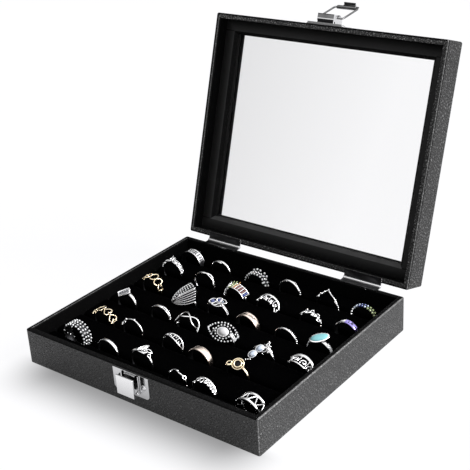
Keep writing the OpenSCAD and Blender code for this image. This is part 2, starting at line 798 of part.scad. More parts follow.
case_wall_boards();
case_floor_board();
case_cover();
case_lining();
base_sheet();
insert_tray();
velvet_rolls();
lid_wall_boards();
lid_top_board();
lid_cover();
lid_lining();
lid_window_border();
lid_glass();
case_hinge_leaves();
lid_hinge_leaves();
hinge_pins();
case_hinge_screws();
lid_hinge_screws();
catch_plate();
catch_rivets();
catch_flap();
flap_pins();
flap_spring();
hasp_plate();
hasp_rivets();
hasp_bail();
hasp_hook();
ring_pebble_band();
ring_plain_bands();
ring_rose_flower();
ring_twist();
ring_leaf_crown();
ring_trellis_band();
ring_gold_hearts();
ring_bead_band();
ring_channel_point();
ring_rose_gold_bands();
ring_gold_drop();
ring_pave_plate();
ring_crossing_bands();
ring_oval_halo();
ring_twin_stones();
ring_scroll_crown();
ring_gold_chain();
ring_dome();
ring_blue_crown();
ring_half_eternity_pair();
ring_turquoise_oval();
ring_bow();
ring_wave();
ring_rainbow_stones();
ring_pearl_rail();
ring_leaf_spray();
ring_purple_band();
ring_pave_band();
ring_open_band();
ring_bead_cluster();
ring_tiara();
ring_coloured_beads();
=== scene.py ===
import math
import bpy
import bmesh
import numpy as np
from mathutils import Matrix, Vector


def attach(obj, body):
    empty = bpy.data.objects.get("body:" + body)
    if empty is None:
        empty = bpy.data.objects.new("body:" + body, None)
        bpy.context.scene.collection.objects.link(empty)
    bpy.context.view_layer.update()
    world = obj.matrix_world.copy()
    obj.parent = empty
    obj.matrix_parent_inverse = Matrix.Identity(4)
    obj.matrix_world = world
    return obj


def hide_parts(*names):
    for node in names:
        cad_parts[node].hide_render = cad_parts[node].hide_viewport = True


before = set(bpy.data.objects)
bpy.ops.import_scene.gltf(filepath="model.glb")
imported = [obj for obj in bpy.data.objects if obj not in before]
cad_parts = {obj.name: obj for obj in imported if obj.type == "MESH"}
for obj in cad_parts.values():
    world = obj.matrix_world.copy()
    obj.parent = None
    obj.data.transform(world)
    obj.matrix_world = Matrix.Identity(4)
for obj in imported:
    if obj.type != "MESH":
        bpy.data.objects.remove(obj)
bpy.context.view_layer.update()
mm = 0.001
tau = 2 * math.pi

# camera: where it stands, where it looks and how it is turned
camera = dict(azimuth=38.75, elevation=24.94, roll=-3.54, target=(20.85, 0, 92.13), distance=683.57, lens=79.008)


# stands on a sphere round its target and is rolled about its view
def makeCamera(c):
    az, el, roll = (math.radians(c[k]) for k in ("azimuth", "elevation", "roll"))
    back = Vector((math.sin(az) * math.cos(el), -math.cos(az) * math.cos(el), math.sin(el)))
    side = Vector((0, 0, 1)).cross(back).normalized()
    up = back.cross(side)
    right = side * math.cos(roll) + up * math.sin(roll)
    up = up * math.cos(roll) - side * math.sin(roll)
    data = bpy.data.cameras.new("camera")
    data.sensor_width, data.lens = 36, c["lens"]
    data.clip_start, data.clip_end = 0.01, 20
    thing = bpy.data.objects.new("camera", data)
    place = Matrix((right, up, back)).transposed().to_4x4()
    place.translation = (Vector(c["target"]) + back * c["distance"]) * mm
    thing.matrix_world = place
    bpy.context.scene.collection.objects.link(thing)
    bpy.context.scene.camera = thing


makeCamera(camera)
print("camera placed")

# materials: an effect group gives a height for the bump and a shade between two colours
def makeGroup(name, inputs, outputs):
    group = bpy.data.node_groups.new(name, "ShaderNodeTree")
    for label, value in inputs.items():
        kind = "NodeSocketVector" if value is None else "NodeSocketFloat"
        socket = group.interface.new_socket(label, in_out="INPUT", socket_type=kind)
        if value is not None:
            socket.default_value = value
    for label in outputs:
        group.interface.new_socket(label, in_out="OUTPUT", socket_type="NodeSocketFloat")
    return group, group.nodes.new("NodeGroupInput"), group.nodes.new("NodeGroupOutput")


# a value goes to the node's setting of that name, or else to its socket; links are socket to source
def addNode(tree, kind, links=(), **values):
    node = tree.nodes.new(kind)
    for key, value in values.items():
        if hasattr(node, key):
            setattr(node, key, value)
        else:
            node.inputs[key.replace("_", " ")].default_value = value
    for socket, source in dict(links).items():
        tree.links.new(source, node.inputs[socket])
    return node


# a math node whose two sockets take numbers or other nodes' outputs
def math2(tree, operation, a, b):
    node = addNode(tree, "ShaderNodeMath", operation=operation)
    for socket, value in zip(node.inputs, (a, b)):
        if isinstance(value, (int, float)):
            socket.default_value = value
        else:
            tree.links.new(value, socket)
    return node.outputs[0]


def grainGroup():
    # pebble grain: domes between the cell borders, on a slow swell, with fine pores
    group, given, out = makeGroup("pebbleGrain", {"Place": None, "Scale": 900.0, "Pores": 0.2}, ["Height", "Shade"])
    scale = math2(group, "MULTIPLY", given.outputs["Scale"], 0.25)
    warp = addNode(group, "ShaderNodeTexNoise", {"Vector": given.outputs["Place"], "Scale": scale}, Detail=3.0)
    shift = addNode(group, "ShaderNodeVectorMath", {0: warp.outputs["Color"]}, operation="SCALE", Scale=0.0012)
    place = addNode(group, "ShaderNodeVectorMath", {0: given.outputs["Place"], 1: shift.outputs[0]},
                    operation="ADD")
    cells = addNode(group, "ShaderNodeTexVoronoi", {"Vector": place.outputs[0], "Scale": given.outputs["Scale"]},
                    feature="DISTANCE_TO_EDGE")
    dome = addNode(group, "ShaderNodeMapRange", {"Value": cells.outputs["Distance"]},
                   interpolation_type="SMOOTHSTEP", From_Max=0.45)
    fine = addNode(group, "ShaderNodeTexNoise", {"Vector": given.outputs["Place"]}, Scale=3200.0, Detail=2.0)
    pores = math2(group, "MULTIPLY", fine.outputs["Fac"], given.outputs["Pores"])
    height = math2(group, "ADD", dome.outputs[0], pores)
    swell = math2(group, "MULTIPLY", warp.outputs["Fac"], 0.6)
    group.links.new(math2(group, "ADD", height, swell), out.inputs["Height"])
    group.links.new(dome.outputs[0], out.inputs["Shade"])
    return group


def pileGroup():
    # velvet pile: short fibres that lean in slow patches
    group, given, out = makeGroup("velvetPile", {"Place": None, "Scale": 2600.0}, ["Height", "Shade"])
    fibre = addNode(group, "ShaderNodeTexNoise",
                    {"Vector": given.outputs["Place"], "Scale": given.outputs["Scale"]}, Detail=4.0, Roughness=0.7)
    patch = addNode(group, "ShaderNodeTexNoise", {"Vector": given.outputs["Place"]}, Scale=60.0, Detail=3.0)
    group.links.new(fibre.outputs["Fac"], out.inputs["Height"])
    group.links.new(math2(group, "MULTIPLY", patch.outputs["Fac"], fibre.outputs["Fac"]), out.inputs["Shade"])
    return group


def handlingGroup():
    # handled metal: faint hairlines and smudges
    group, given, out = makeGroup("handledMetal", {"Place": None, "Scale": 300.0}, ["Height", "Smudge"])
    stretch = addNode(group, "ShaderNodeVectorMath", {0: given.outputs["Place"]}, operation="MULTIPLY")
    stretch.inputs[1].default_value = (1, 1, 14)
    lines = addNode(group, "ShaderNodeTexNoise", {"Vector": stretch.outputs[0], "Scale": given.outputs["Scale"]},
                    Detail=3.0)
    smudge = addNode(group, "ShaderNodeTexNoise", {"Vector": given.outputs["Place"]}, Scale=180.0, Detail=4.0)
    group.links.new(lines.outputs["Fac"], out.inputs["Height"])
    group.links.new(smudge.outputs["Fac"], out.inputs["Smudge"])
    return group


groups = dict(grain=grainGroup(), pile=pileGroup(), handled=handlingGroup())


# a material with its tree and shader, and values set on the shader's own sockets
def blankMaterial(name, **sockets):
    material = bpy.data.materials.new(name)
    material.use_nodes = True
    shader = material.node_tree.nodes["Principled BSDF"]
    for label, value in sockets.items():
        shader.inputs[label.replace("_", " ")].default_value = value
    return material, material.node_tree, shader


# one shader; effect names a group, whose first output is the bump and whose second goes from the dark to the light
# colour and from the first to the second roughness
def makeMaterial(name, dark, light, rough, effect="handled", scale=None, bump=0.1, depth=0.1, **sockets):
    material, tree, shader = blankMaterial(name, **sockets)
    place = addNode(tree, "ShaderNodeTexCoord").outputs["Object"]
    node = addNode(tree, "ShaderNodeGroup", node_tree=groups[effect])
    tree.links.new(place, node.inputs["Place"])
    if scale:
        node.inputs["Scale"].default_value = scale
    shade = node.outputs[1]
    colour = addNode(tree, "ShaderNodeMix", {0: shade}, data_type="RGBA")
    colour.inputs[6].default_value, colour.inputs[7].default_value = (*dark, 1), (*light, 1)
    tree.links.new(colour.outputs[2], shader.inputs["Base Color"])
    spread = addNode(tree, "ShaderNodeMapRange", {"Value": shade}, To_Min=rough[0], To_Max=rough[1])
    tree.links.new(spread.outputs[0], shader.inputs["Roughness"])
    relief = addNode(tree, "ShaderNodeBump", {"Height": node.outputs[0]}, Strength=bump, Distance=depth * mm)
    tree.links.new(relief.outputs[0], shader.inputs["Normal"])
    return material


# polished plated metal with faint hairlines
def metal(name, dark, light, rough=(0.08, 0.2), **sockets):
    return makeMaterial(name, dark, light, rough, bump=0.05, depth=0.02, Metallic=1.0, **sockets)


# stones, glass beads and pearl, under a clear coat
def stone(name, dark, light, rough=(0.02, 0.1), bump=0.02, coat=1.0, **sockets):
    return makeMaterial(name, dark, light, rough, bump=bump, Coat_Weight=coat, **sockets)


paint = dict(
    leather=makeMaterial("leatherette", (0.005, 0.005, 0.0052), (0.05, 0.05, 0.051), (0.5, 0.32), "grain",
                         scale=560.0, bump=1.0, depth=0.9, Specular_IOR_Level=0.7),
    lidLeather=makeMaterial("lidLeatherette", (0.0015, 0.0015, 0.0016), (0.17, 0.17, 0.172), (0.6, 0.36),
                            "grain", scale=470.0, bump=1.0, depth=1.8, Specular_IOR_Level=0.45),
    # painted light: a lighter leather for the lid's rim that faces up when the lid is open
    topLeather=makeMaterial("topRimPaintedLightLeatherette", (0.004, 0.004, 0.0041), (0.5, 0.5, 0.505), (0.6, 0.36),
                            "grain", scale=620.0, bump=1.0, depth=1.2, Specular_IOR_Level=0.45),
    # painted shade: a near-black leather for rims, recesses and the glass's edge, also used for the border's dark
    # seams
    rim=makeMaterial("paintedShadeAndSeamLeather", (0.0015, 0.0015, 0.0016), (0.006, 0.006, 0.0062), (0.75, 0.6), "grain",
                     scale=620.0, bump=0.6, depth=0.3, Specular_IOR_Level=0.08),
    # painted highlight: a lighter leather for edges and strips that catch the light
    edge=makeMaterial("paintedHighlightLeather", (0.1, 0.1, 0.101), (0.4, 0.4, 0.405), (0.4, 0.25), "grain",
                      scale=620.0, bump=0.4, depth=0.2, Specular_IOR_Level=0.6),
    velvet=makeMaterial("velvet", (0.0002, 0.0002, 0.0003), (0.0008, 0.0008, 0.0009), (0.95, 1.0), "pile",
                        bump=0.6, depth=0.1, Specular_IOR_Level=0.01),
    lining=makeMaterial("liningCloth", (0.002, 0.002, 0.0021), (0.006, 0.006, 0.0062), (0.9, 1.0), "pile",
                        scale=1800.0, bump=0.5, depth=0.08, Specular_IOR_Level=0.02),
    # painted highlight: a lighter card for the bevel that catches the light next to the hinges
    bevel=makeMaterial("bevelCardPaintedHighlight", (0.05, 0.05, 0.051), (0.075, 0.075, 0.076), (0.6, 0.45), "pile",
                       scale=1200.0, bump=0.3, depth=0.06, Specular_IOR_Level=0.4),
    border=makeMaterial("borderCard", (0.018, 0.018, 0.0183), (0.03, 0.03, 0.0305), (0.75, 0.6), "pile",
                        scale=1200.0, bump=0.3, depth=0.06, Specular_IOR_Level=0.3),
    board=makeMaterial("fibreboard", (0.42, 0.3, 0.19), (0.6, 0.46, 0.32), (0.8, 0.95), "pile", bump=0.3),
    paper=makeMaterial("basePaper", (0.014, 0.014, 0.015), (0.03, 0.03, 0.031), (0.8, 0.9), "grain",
                       scale=1500.0, bump=0.2),
    card=makeMaterial("blackCard", (0.01, 0.01, 0.01), (0.03, 0.03, 0.03), (0.85, 0.95), "pile", bump=0.2),
    nickel=metal("nickelPlate", (0.64, 0.64, 0.65), (0.82, 0.82, 0.83), (0.1, 0.26)),
    # painted shade: a darker nickel for the hook, the bail and the plate under the housing
    dullNickel=metal("shadedNickel", (0.12, 0.12, 0.122), (0.25, 0.25, 0.255), (0.15, 0.3)),
    hinge=metal("blackNickel", (0.02, 0.02, 0.021), (0.05, 0.05, 0.052), (0.25, 0.4)),
    silver=metal("silver", (0.9, 0.9, 0.91), (0.98, 0.98, 0.985), (0.08, 0.2)),
    gold=metal("gold", (0.9, 0.74, 0.5), (0.99, 0.88, 0.68), (0.1, 0.22)),
    roseGold=metal("roseGold", (0.9, 0.74, 0.64), (0.99, 0.88, 0.8), (0.12, 0.25)),
    purple=metal("violetSteel", (0.22, 0.16, 0.6), (0.55, 0.5, 0.9)),
    # painted shade: a near-black metal for ring insides, gaps behind openwork and the latch's recesses
    inside=metal("paintedShadeMetal", (0.012, 0.012, 0.013), (0.035, 0.035, 0.037), (0.35, 0.5)),
    darkMetal=metal("oxidisedSilver", (0.08, 0.08, 0.09), (0.2, 0.2, 0.22), (0.3, 0.5)),
    clear=stone("clearStone", (0.86, 0.88, 0.92), (1, 1, 1), (0.0, 0.08), Specular_IOR_Level=1.0,
                Metallic=0.1),
    paleBlue=stone("paleBlueStone", (0.55, 0.66, 0.88), (0.82, 0.9, 1.0), Metallic=0.3),
    blue=stone("blueStone", (0.02, 0.035, 0.2), (0.12, 0.17, 0.5)),
    turquoise=stone("turquoise", (0.22, 0.7, 0.76), (0.4, 0.88, 0.93), (0.12, 0.25), bump=0.05, coat=0.6),
    pearl=stone("pearl", (0.8, 0.8, 0.82), (0.95, 0.94, 0.96), (0.15, 0.3), bump=0.03, coat=0.5),
    black=stone("blackStone", (0.004, 0.004, 0.005), (0.012, 0.012, 0.014), (0.05, 0.12), coat=0.4),
    green=stone("greenStone", (0.35, 0.5, 0.2), (0.75, 0.8, 0.45)),
    amber=stone("amberStone", (0.5, 0.22, 0.05), (0.85, 0.5, 0.2)),
    red=stone("redStone", (0.06, 0.004, 0.004), (0.2, 0.02, 0.016)),
)


def makeGlass():
    # clear pane with a grey tint, darkened towards the upper left as painted shade, and faint smears
    material, tree, shader = blankMaterial("glass", Transmission_Weight=1.0, IOR=1.45)
    place = addNode(tree, "ShaderNodeTexCoord").outputs["Object"]
    slope = addNode(tree, "ShaderNodeVectorMath", {0: place}, operation="DOT_PRODUCT")
    slope.inputs[1].default_value = (2.4, 0, -0.6)
    tintAndShade = addNode(tree, "ShaderNodeMapRange", {"Value": slope.outputs["Value"]}, From_Min=-0.35, From_Max=0.05,
                   To_Min=0.76, To_Max=0.95)
    smear = addNode(tree, "ShaderNodeTexNoise", {"Vector": place}, Scale=25.0, Detail=4.0)
    tree.links.new(tintAndShade.outputs[0], shader.inputs["Base Color"])
    haze = addNode(tree, "ShaderNodeMapRange", {"Value": smear.outputs["Fac"]}, To_Min=0.0, To_Max=0.02)
    tree.links.new(haze.outputs[0], shader.inputs["Roughness"])
    return material


paint["glass"] = makeGlass()
print("materials made")

# shapes: a part is (points in mm, quads, paint, smooth)

# joins a grid of points, rows by columns, to quads, and turns them outwards
def surface(grid, colour, closeRows=True, closeColumns=False, smooth=True):
    rows, columns = grid.shape[:2]
    i = np.arange(rows if closeRows else rows - 1)[:, None]
    j = np.arange(columns if closeColumns else columns - 1)[None, :]
    nextRow, nextColumn = (i + 1) % rows, (j + 1) % columns
    quads = np.stack([i * columns + j, nextRow * columns + j, nextRow * columns + nextColumn,
                      i * columns + nextColumn], -1).reshape(-1, 4)
    return orient((grid.reshape(-1, 3).astype(float), quads, colour, smooth))


# turns a closed part's faces outwards: six times its volume is the sum of its triangles' triple products
def orient(part):
    points, quads, colour, smooth = part
    a, b, c, d = (points[quads[:, k]] for k in range(4))
    volume = (np.cross(a, b) * c).sum() + (np.cross(a, c) * d).sum()
    return (points, quads[:, ::-1], colour, smooth) if volume < 0 else part


# a profile of (radius, height) points turned about the height axis, which is y
def lathe(profile, colour, sides=12, smooth=True, stretch=(1, 1)):
    turn = np.arange(sides)[:, None] * tau / sides
    radius, height = np.array(profile, float).T[:, None, :]
    grid = np.stack([radius * np.cos(turn) * stretch[0], height + 0 * turn, radius * np.sin(turn) * stretch[1]], -1)
    return surface(grid, colour, smooth=smooth)


# a sphere's profile, cosine out and sine up, turned about its axis
def ball(radius, colour, sides=8, rows=6, flat=1.0):
    lean = np.linspace(-math.pi / 2, math.pi / 2, rows)
    return lathe(np.stack([radius * np.cos(lean).clip(0), radius * flat * np.sin(lean)], -1), colour, sides)


# a cut stone: flat table, sloping crown, thin girdle and pointed back
def gem(radius, colour):
    profile = [(0, 0.5), (0.55, 0.5), (1, 0.15), (1, 0), (0, -0.5)]
    return lathe([(r * radius, h * radius) for r, h in profile], colour, 8, False)


# a box with bevelled top edges, as rows of a shrinking rectangle
def block(size, colour, bevel=0.25):
    x, y, z = (s / 2 for s in size)
    corners = np.array([(1, 1), (-1, 1), (-1, -1), (1, -1)], float)
    steps = [(0, 0, -y), (x, z, -y), (x, z, y - bevel), (x - bevel, z - bevel, y), (0, 0, y)]
    grid = np.stack([np.stack([corners[:, 0] * a, np.full(4, h), corners[:, 1] * b], -1) for a, b, h in steps], 1)
    return surface(grid, colour, smooth=False)


# a round profile carried along a path, whose side is the path's direction crossed with up
def tube(path, radius, colour, closed=False, sides=8, up=(0, 1, 0)):
    path = np.asarray(path, float)
    radius = np.broadcast_to(np.asarray(radius, float), len(path)).copy()
    if closed:
        ahead = np.roll(path, -1, 0) - np.roll(path, 1, 0)
    else:
        ahead = np.gradient(path, axis=0)
    ahead /= np.linalg.norm(ahead, axis=1)[:, None]
    side = np.cross(ahead, up)
    side /= np.linalg.norm(side, axis=1)[:, None] + 1e-9
    rise = np.cross(side, ahead)
    if not closed:  # rounded ends: two rings each, of (place past the end, size), as shares of the radius
        caps = np.array([(-0.6, 0.0), (-0.45, 0.6)])
        first = path[0] + ahead[0] * radius[0] * caps[:, :1]
        last = path[-1] - ahead[-1] * radius[-1] * caps[::-1, :1]
        path = np.concatenate([first, path, last])
        radius = np.concatenate([radius[0] * caps[:, 1], radius, radius[-1] * caps[::-1, 1]])
        side, rise = (np.concatenate([rows[:1]] * 2 + [rows] + [rows[-1:]] * 2) for rows in (side, rise))
    turn = np.arange(sides)[None, :, None] * tau / sides
    ring = np.cos(turn) * side[:, None, :] + np.sin(turn) * rise[:, None, :]
    grid = path[:, None, :] + radius[:, None, None] * ring
    return surface(grid, colour, closeRows=closed, closeColumns=True)


# copies of a part at many places, each with its size
def scatter(part, places, sizes=1):
    points, quads, colour, smooth = part
    places = np.asarray(places, float).reshape(-1, 3)
    grown = points * np.broadcast_to(sizes, len(places))[:, None, None] + places[:, None, :]
    shift = np.arange(len(places))[:, None, None] * len(points)
    return grown.reshape(-1, 3), (quads[None] + shift).reshape(-1, 4), colour, smooth


# parts shifted as a whole
def moved(parts, by):
    return [(points + np.array(by), quads, colour, smooth) for points, quads, colour, smooth in parts]


# gives the faces whose middle passes the test another paint, in all parts or only in those of one paint
def repaint(parts, test, colour, only=None):
    done = []
    for points, quads, first, smooth in parts:
        chosen = test(points[quads].mean(1)) & (only is None or first == only)
        done += [(points, quads[~chosen], first, smooth), (points, quads[chosen], colour, smooth)]
    return [part for part in done if len(part[1])]


# joins parts into one mesh object that rides on a body
def makePiece(name, parts, body, nodes):
    sizes = np.cumsum([0] + [len(p[0]) for p in parts])
    points = np.concatenate([p[0] for p in parts]) * mm
    quads = np.concatenate([p[1] + start for p, start in zip(parts, sizes)])
    colours = list(dict.fromkeys(p[2] for p in parts))
    mesh = bpy.data.meshes.new(name)
    mesh.vertices.add(len(points))
    mesh.vertices.foreach_set("co", points.astype(np.float32).ravel())
    mesh.loops.add(4 * len(quads))
    mesh.loops.foreach_set("vertex_index", quads.astype(np.int32).ravel())
    mesh.polygons.add(len(quads))
    mesh.polygons.foreach_set("loop_start", np.arange(len(quads), dtype=np.int32) * 4)
    index = np.concatenate([np.full(len(p[1]), colours.index(p[2])) for p in parts])
    mesh.polygons.foreach_set("material_index", index.astype(np.int32))
    mesh.polygons.foreach_set("use_smooth", np.concatenate([np.full(len(p[1]), p[3]) for p in parts]))
    mesh.update(calc_edges=True)
    work = bmesh.new()
    work.from_mesh(mesh)
    bmesh.ops.remove_doubles(work, verts=work.verts, dist=1e-7)
    work.to_mesh(mesh)
    work.free()
    for colour in colours:
        mesh.materials.append(paint[colour])
    thing = bpy.data.objects.new(name, mesh)
    bpy.context.scene.collection.objects.link(thing)
    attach(thing, body)
    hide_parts(*nodes)
    return thing


# a copy of a CAD node with its flat faces joined and its edges rounded; cuts are planes of (point, normal) where
# the paint changes, and layers repaint the faces whose middle and normal, in mm with the lid closed, pass a test
def softenNode(name, node, width, body, slot, colour, layers=(), cuts=()):
    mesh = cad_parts[node].data.copy()
    mesh.materials.clear()
    work = bmesh.new()
    work.from_mesh(mesh)
    bmesh.ops.remove_doubles(work, verts=work.verts, dist=1e-6)
    bmesh.ops.dissolve_limit(work, angle_limit=math.radians(1), verts=work.verts, edges=work.edges)
    for point, normal in cuts:
        ends = np.array([point, np.add(point, normal)], float)
        ends = opened(ends) if body == "lid" else ends
        bmesh.ops.bisect_plane(work, geom=work.verts[:] + work.edges[:] + work.faces[:], plane_co=ends[0] * mm,
                               plane_no=ends[1] - ends[0])
    work.to_mesh(mesh)
    work.free()
    mesh.polygons.foreach_set("use_smooth", np.ones(len(mesh.polygons), bool))
    mesh.set_sharp_from_angle(angle=math.radians(35))
    mesh.materials.append(paint[colour])
    for k, (layer, test) in enumerate(layers):
        mesh.materials.append(paint[layer])
        for face in mesh.polygons:
            ends = np.array([face.center / mm, face.center / mm + face.normal])
            ends = opened(ends, -1) if body == "lid" else ends
            if test(ends[0], ends[1] - ends[0]):
                face.material_index = k + 1
    thing = bpy.data.objects.new(name, mesh)
    bpy.context.scene.collection.objects.link(thing)
    bevel = thing.modifiers.new("edge", "BEVEL")
    bevel.width, bevel.segments, bevel.limit_method, bevel.angle_limit = width * mm, 2, "ANGLE", math.radians(35)
    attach(thing, body)
    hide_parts(node)


# the box, with the lid closed, in mm
box = dict(width=200, depth=176, height=27, corner=1.5, board=2.8, cover=0.6, turnUnder=8)
lid = dict(rim=28.5, top=50.5, openAngle=107.6, pinY=90.7, pinZ=27.75, windowX=14.6, windowY=14.9, border=38.0,
           borderTop=44.4, bevel=2.8, reveal=46.6)
halfX, halfY = box["width"] / 2, box["depth"] / 2
wall = box["board"] + 2 * box["cover"]


# swings points of the closed lid to where it stands open, or back, by a turn about the hinge pin
def opened(points, way=1):
    turn = math.radians(lid["openAngle"]) * way
    y, z = points[..., 1] - lid["pinY"], points[..., 2] - lid["pinZ"]
    c, s = math.cos(turn), math.sin(turn)
    return np.stack([points[..., 0], lid["pinY"] + y * c + z * s, lid["pinZ"] - y * s + z * c], -1)


# rounds each corner of a closed outline by a quadratic curve that starts the given distance before it
def fillet(corners, rounds, steps=5):
    corners = np.array(corners, float)
    outline = []
    for k, (corner, size) in enumerate(zip(corners, rounds)):
        if size == 0:
            outline.append(corner)
            continue
        before, after = corners[k - 1] - corner, corners[(k + 1) % len(corners)] - corner
        first = corner + before / np.linalg.norm(before) * size
        last = corner + after / np.linalg.norm(after) * size
        for t in np.linspace(0, 1, steps):
            outline.append((1 - t) ** 2 * first + 2 * t * (1 - t) * corner + t ** 2 * last)
    return np.array(outline)


# puts extra points on the long edges of a closed outline
def refine(outline, step):
    points = []
    for start, end in zip(outline, np.roll(outline, -1, 0)):
        count = max(1, int(round(np.linalg.norm(end - start) / step)))
        points += [start + (end - start) * k / count for k in range(count)]
    return np.array(points)


# a section of (inset, height) points carried round a rectangle with rounded corners
def moulding(section, colour, extraY=0.0):
    sideSteps, cornerSteps = 24, 7
    rows = []
    for k, (sx, sy) in enumerate([(1, 1), (-1, 1), (-1, -1), (1, -1)]):
        for turn in np.linspace(0, math.pi / 2, cornerSteps) + k * math.pi / 2:
            rows.append((sx, sy, math.cos(turn), math.sin(turn)))
        nx, ny = [(-1, 1), (-1, -1), (1, -1), (1, 1)][k]
        for t in np.linspace(0, 1, sideSteps + 1)[1:-1]:
            rows.append((sx + (nx - sx) * t, sy + (ny - sy) * t, *rows[-1][2:]))
    way = np.array(rows)[:, None, :]
    inset, height = section[:, 0][None], section[:, 1][None]
    insetY = inset + extraY * np.clip((inset - 4) / 10, 0, 1)
    radius = np.maximum(box["corner"] - inset, 0.03)
    x = way[..., 0] * (halfX - inset - radius) + radius * way[..., 2]
    y = way[..., 1] * (halfY - insetY - radius) + radius * way[..., 3]
    return surface(np.stack([x, y, height + 0 * x], -1), colour, closeColumns=True)


# a part of the closed lid, swung to where the lid stands open
def onLid(part):
    return (opened(part[0]),) + part[1:]


# the case's leather, carried round as one section: the turned-under edge, the outside and the rim
def makeCaseCover():
    height, skin, under = box["height"], box["cover"], box["turnUnder"]
    fold = 1.0  # the outer fold's rounding
    stripFrom, stripTo = 2.5, 3.2  # the painted highlight strip on the left rim, as insets
    section = fillet([(under, 0), (0, 0), (0, height), (stripFrom, height), (stripTo, height), (wall, height),
                      (wall, height - skin), (skin, height - skin), (skin, skin), (under, skin)],
                     [0, 0.9, fold, 0, 0, 0.6, 0, 0, 0, 0])

    # painted shade: the rim's top and its rounded outer fold are painted near-black, except along the right side
    def paintedShadeRim(p):
        x, y, z = p.T
        return (z > height - fold - 0.02) & (x < halfX - fold)

    def edge(p):
        # painted highlights on the folds: right outer edge, left rim strip and upright corners
        x, y, z = p.T
        right = (x > halfX - fold - 0.02) & (z > height - 0.6)
        left = (x > stripFrom - halfX) & (x < stripTo - halfX) & (z > height - 0.2) & (y > 3 - halfY)
        corner = (abs(x) > halfX - 0.75) & (abs(y) > halfY - 0.75) & (z > 1) & (z < height - 1)
        return right | left | corner

    parts = repaint(repaint([moulding(section, "leather")], paintedShadeRim, "rim"), edge, "edge")
    makePiece("caseCover", parts, "case", ["case_cover"])


# the lid's leather, carried round as one section: the rim, the outside, the top and the window's wall
def makeLidCover():
    rim, top, window, reveal, skin = lid["rim"], lid["top"], lid["windowX"], lid["reveal"], box["cover"]
    fold = 1.0  # the outer folds' rounding
    paintedShadeInset, stripFrom, stripTo = 1.3, 1.9, 3.1  # insets of the rim's outside, painted shade, and of the left rim's painted highlight strip
    section = fillet([(wall, rim + skin), (wall, rim), (stripTo, rim), (stripFrom, rim), (paintedShadeInset, rim), (0, rim),
                      (0, top), (window, top), (window, reveal), (window - skin, reveal),
                      (window - skin, top - skin), (skin, top - skin), (skin, rim + skin)],
                     [0, 0.6, 0, 0, 0, fold, fold, 0.7, 0, 0, 0, 0, 0])

    def paintedShadeFolds(p):
        # painted shade: the rim is painted near-black along its outside, beside the strip and in a thin line along
        # the right edge, and so is the window's wall
        x, y, z = p.T
        inset = np.minimum(halfX - abs(x), halfY - abs(y))
        left = (x < 0) & (halfX + x < halfY - abs(y))
        shadeFaces = ((inset < paintedShadeInset) | (left & ((inset < stripFrom) | (inset > stripTo)))) & (x < halfX - paintedShadeInset)
        windowWall = (z > rim + 5) & (inset > window - 0.9)
        return windowWall | ((z < rim + 1) & (shadeFaces | (x > halfX - 0.45)))

    def paintedHighlightStrip(p):
        # painted highlights on the left rim's strip and the right outer edge
        x, y, z = p.T
        left = (halfX + x > stripFrom) & (halfX + x < stripTo) & (abs(y) < halfY - stripTo)
        return (z < rim + 0.3) & (left | (x > halfX - fold))

    def paintedLightRim(p):
        # painted light: the flat of the lid's front rim, which is uppermost when the lid stands open, is painted
        # lighter
        x, y, z = p.T
        return (z < rim + 0.1) & (y < wall - halfY) & (halfY + y < halfX - abs(x))

    parts = repaint(repaint([moulding(section, "lidLeather", extraY=0.3)], paintedShadeFolds, "rim"), paintedHighlightStrip, "edge")
    parts = repaint(parts, paintedLightRim, "topLeather", only="lidLeather")
    makePiece("lidCover", [onLid(part) for part in parts], "lid", ["lid_cover"])


# the border that holds the glass, carried round as one section with a bevel at the window
def makeLidBorder():
    low, high, window, bevel = lid["border"], lid["borderTop"], lid["windowX"], lid["bevel"]
    section = fillet([(wall, low), (window - bevel, low), (window, low + bevel), (window, high), (wall, high)],
                     [0, 0.5, 0.4, 0, 0])

    def sides(p):
        # painted shade on the bevel and the upright edge that holds the glass
        return (p[:, 2] > low + 0.3) & (p[:, 2] < high - 0.1)

    def paintedHighlightBevel(p):
        # painted highlight on the bevel next to the hinges
        x, y, z = p.T
        return (y > 0) & (halfY - y < halfX - abs(x)) & (z > low + 0.1) & (z < low + bevel)

    parts = repaint(repaint([moulding(section[::-1], "border", extraY=0.3)], sides, "rim"), paintedHighlightBevel, "bevel")
    # seams where the border's side strips meet the full strips across
    across = window - bevel - wall
    points, quads, colour, smooth = block((across, 0.16, 0.5), "rim", 0.05)
    seam = np.stack([points[:, 0], points[:, 2], points[:, 1]], -1)
    for side in (-1, 1):
        for end in (-1, 1):
            middle = [side * (halfX - wall - across / 2), end * (halfY - lid["windowY"] + bevel - 0.2), low - 0.02]
            parts.append(orient((seam + middle, quads, colour, smooth)))
    makePiece("lidBorder", [onLid(part) for part in parts], "lid", ["lid_window_border"])


makeCaseCover()
makeLidCover()
makeLidBorder()
print("covers made")

# the rolls give way over giveDepth beside a ring, along ringLength, which fades over giveFade, and lift by giveLift
insert = dict(width=190.8, depth=166.8, low=3.1, high=17.1, ringHeight=17, slitPitch=27, slit=0.6, slitTurn=1.7,
              crown=4.5, columnPitch=32, steps=240, giveDepth=9, ringLength=25, giveFade=2.5, giveLift=0.35)
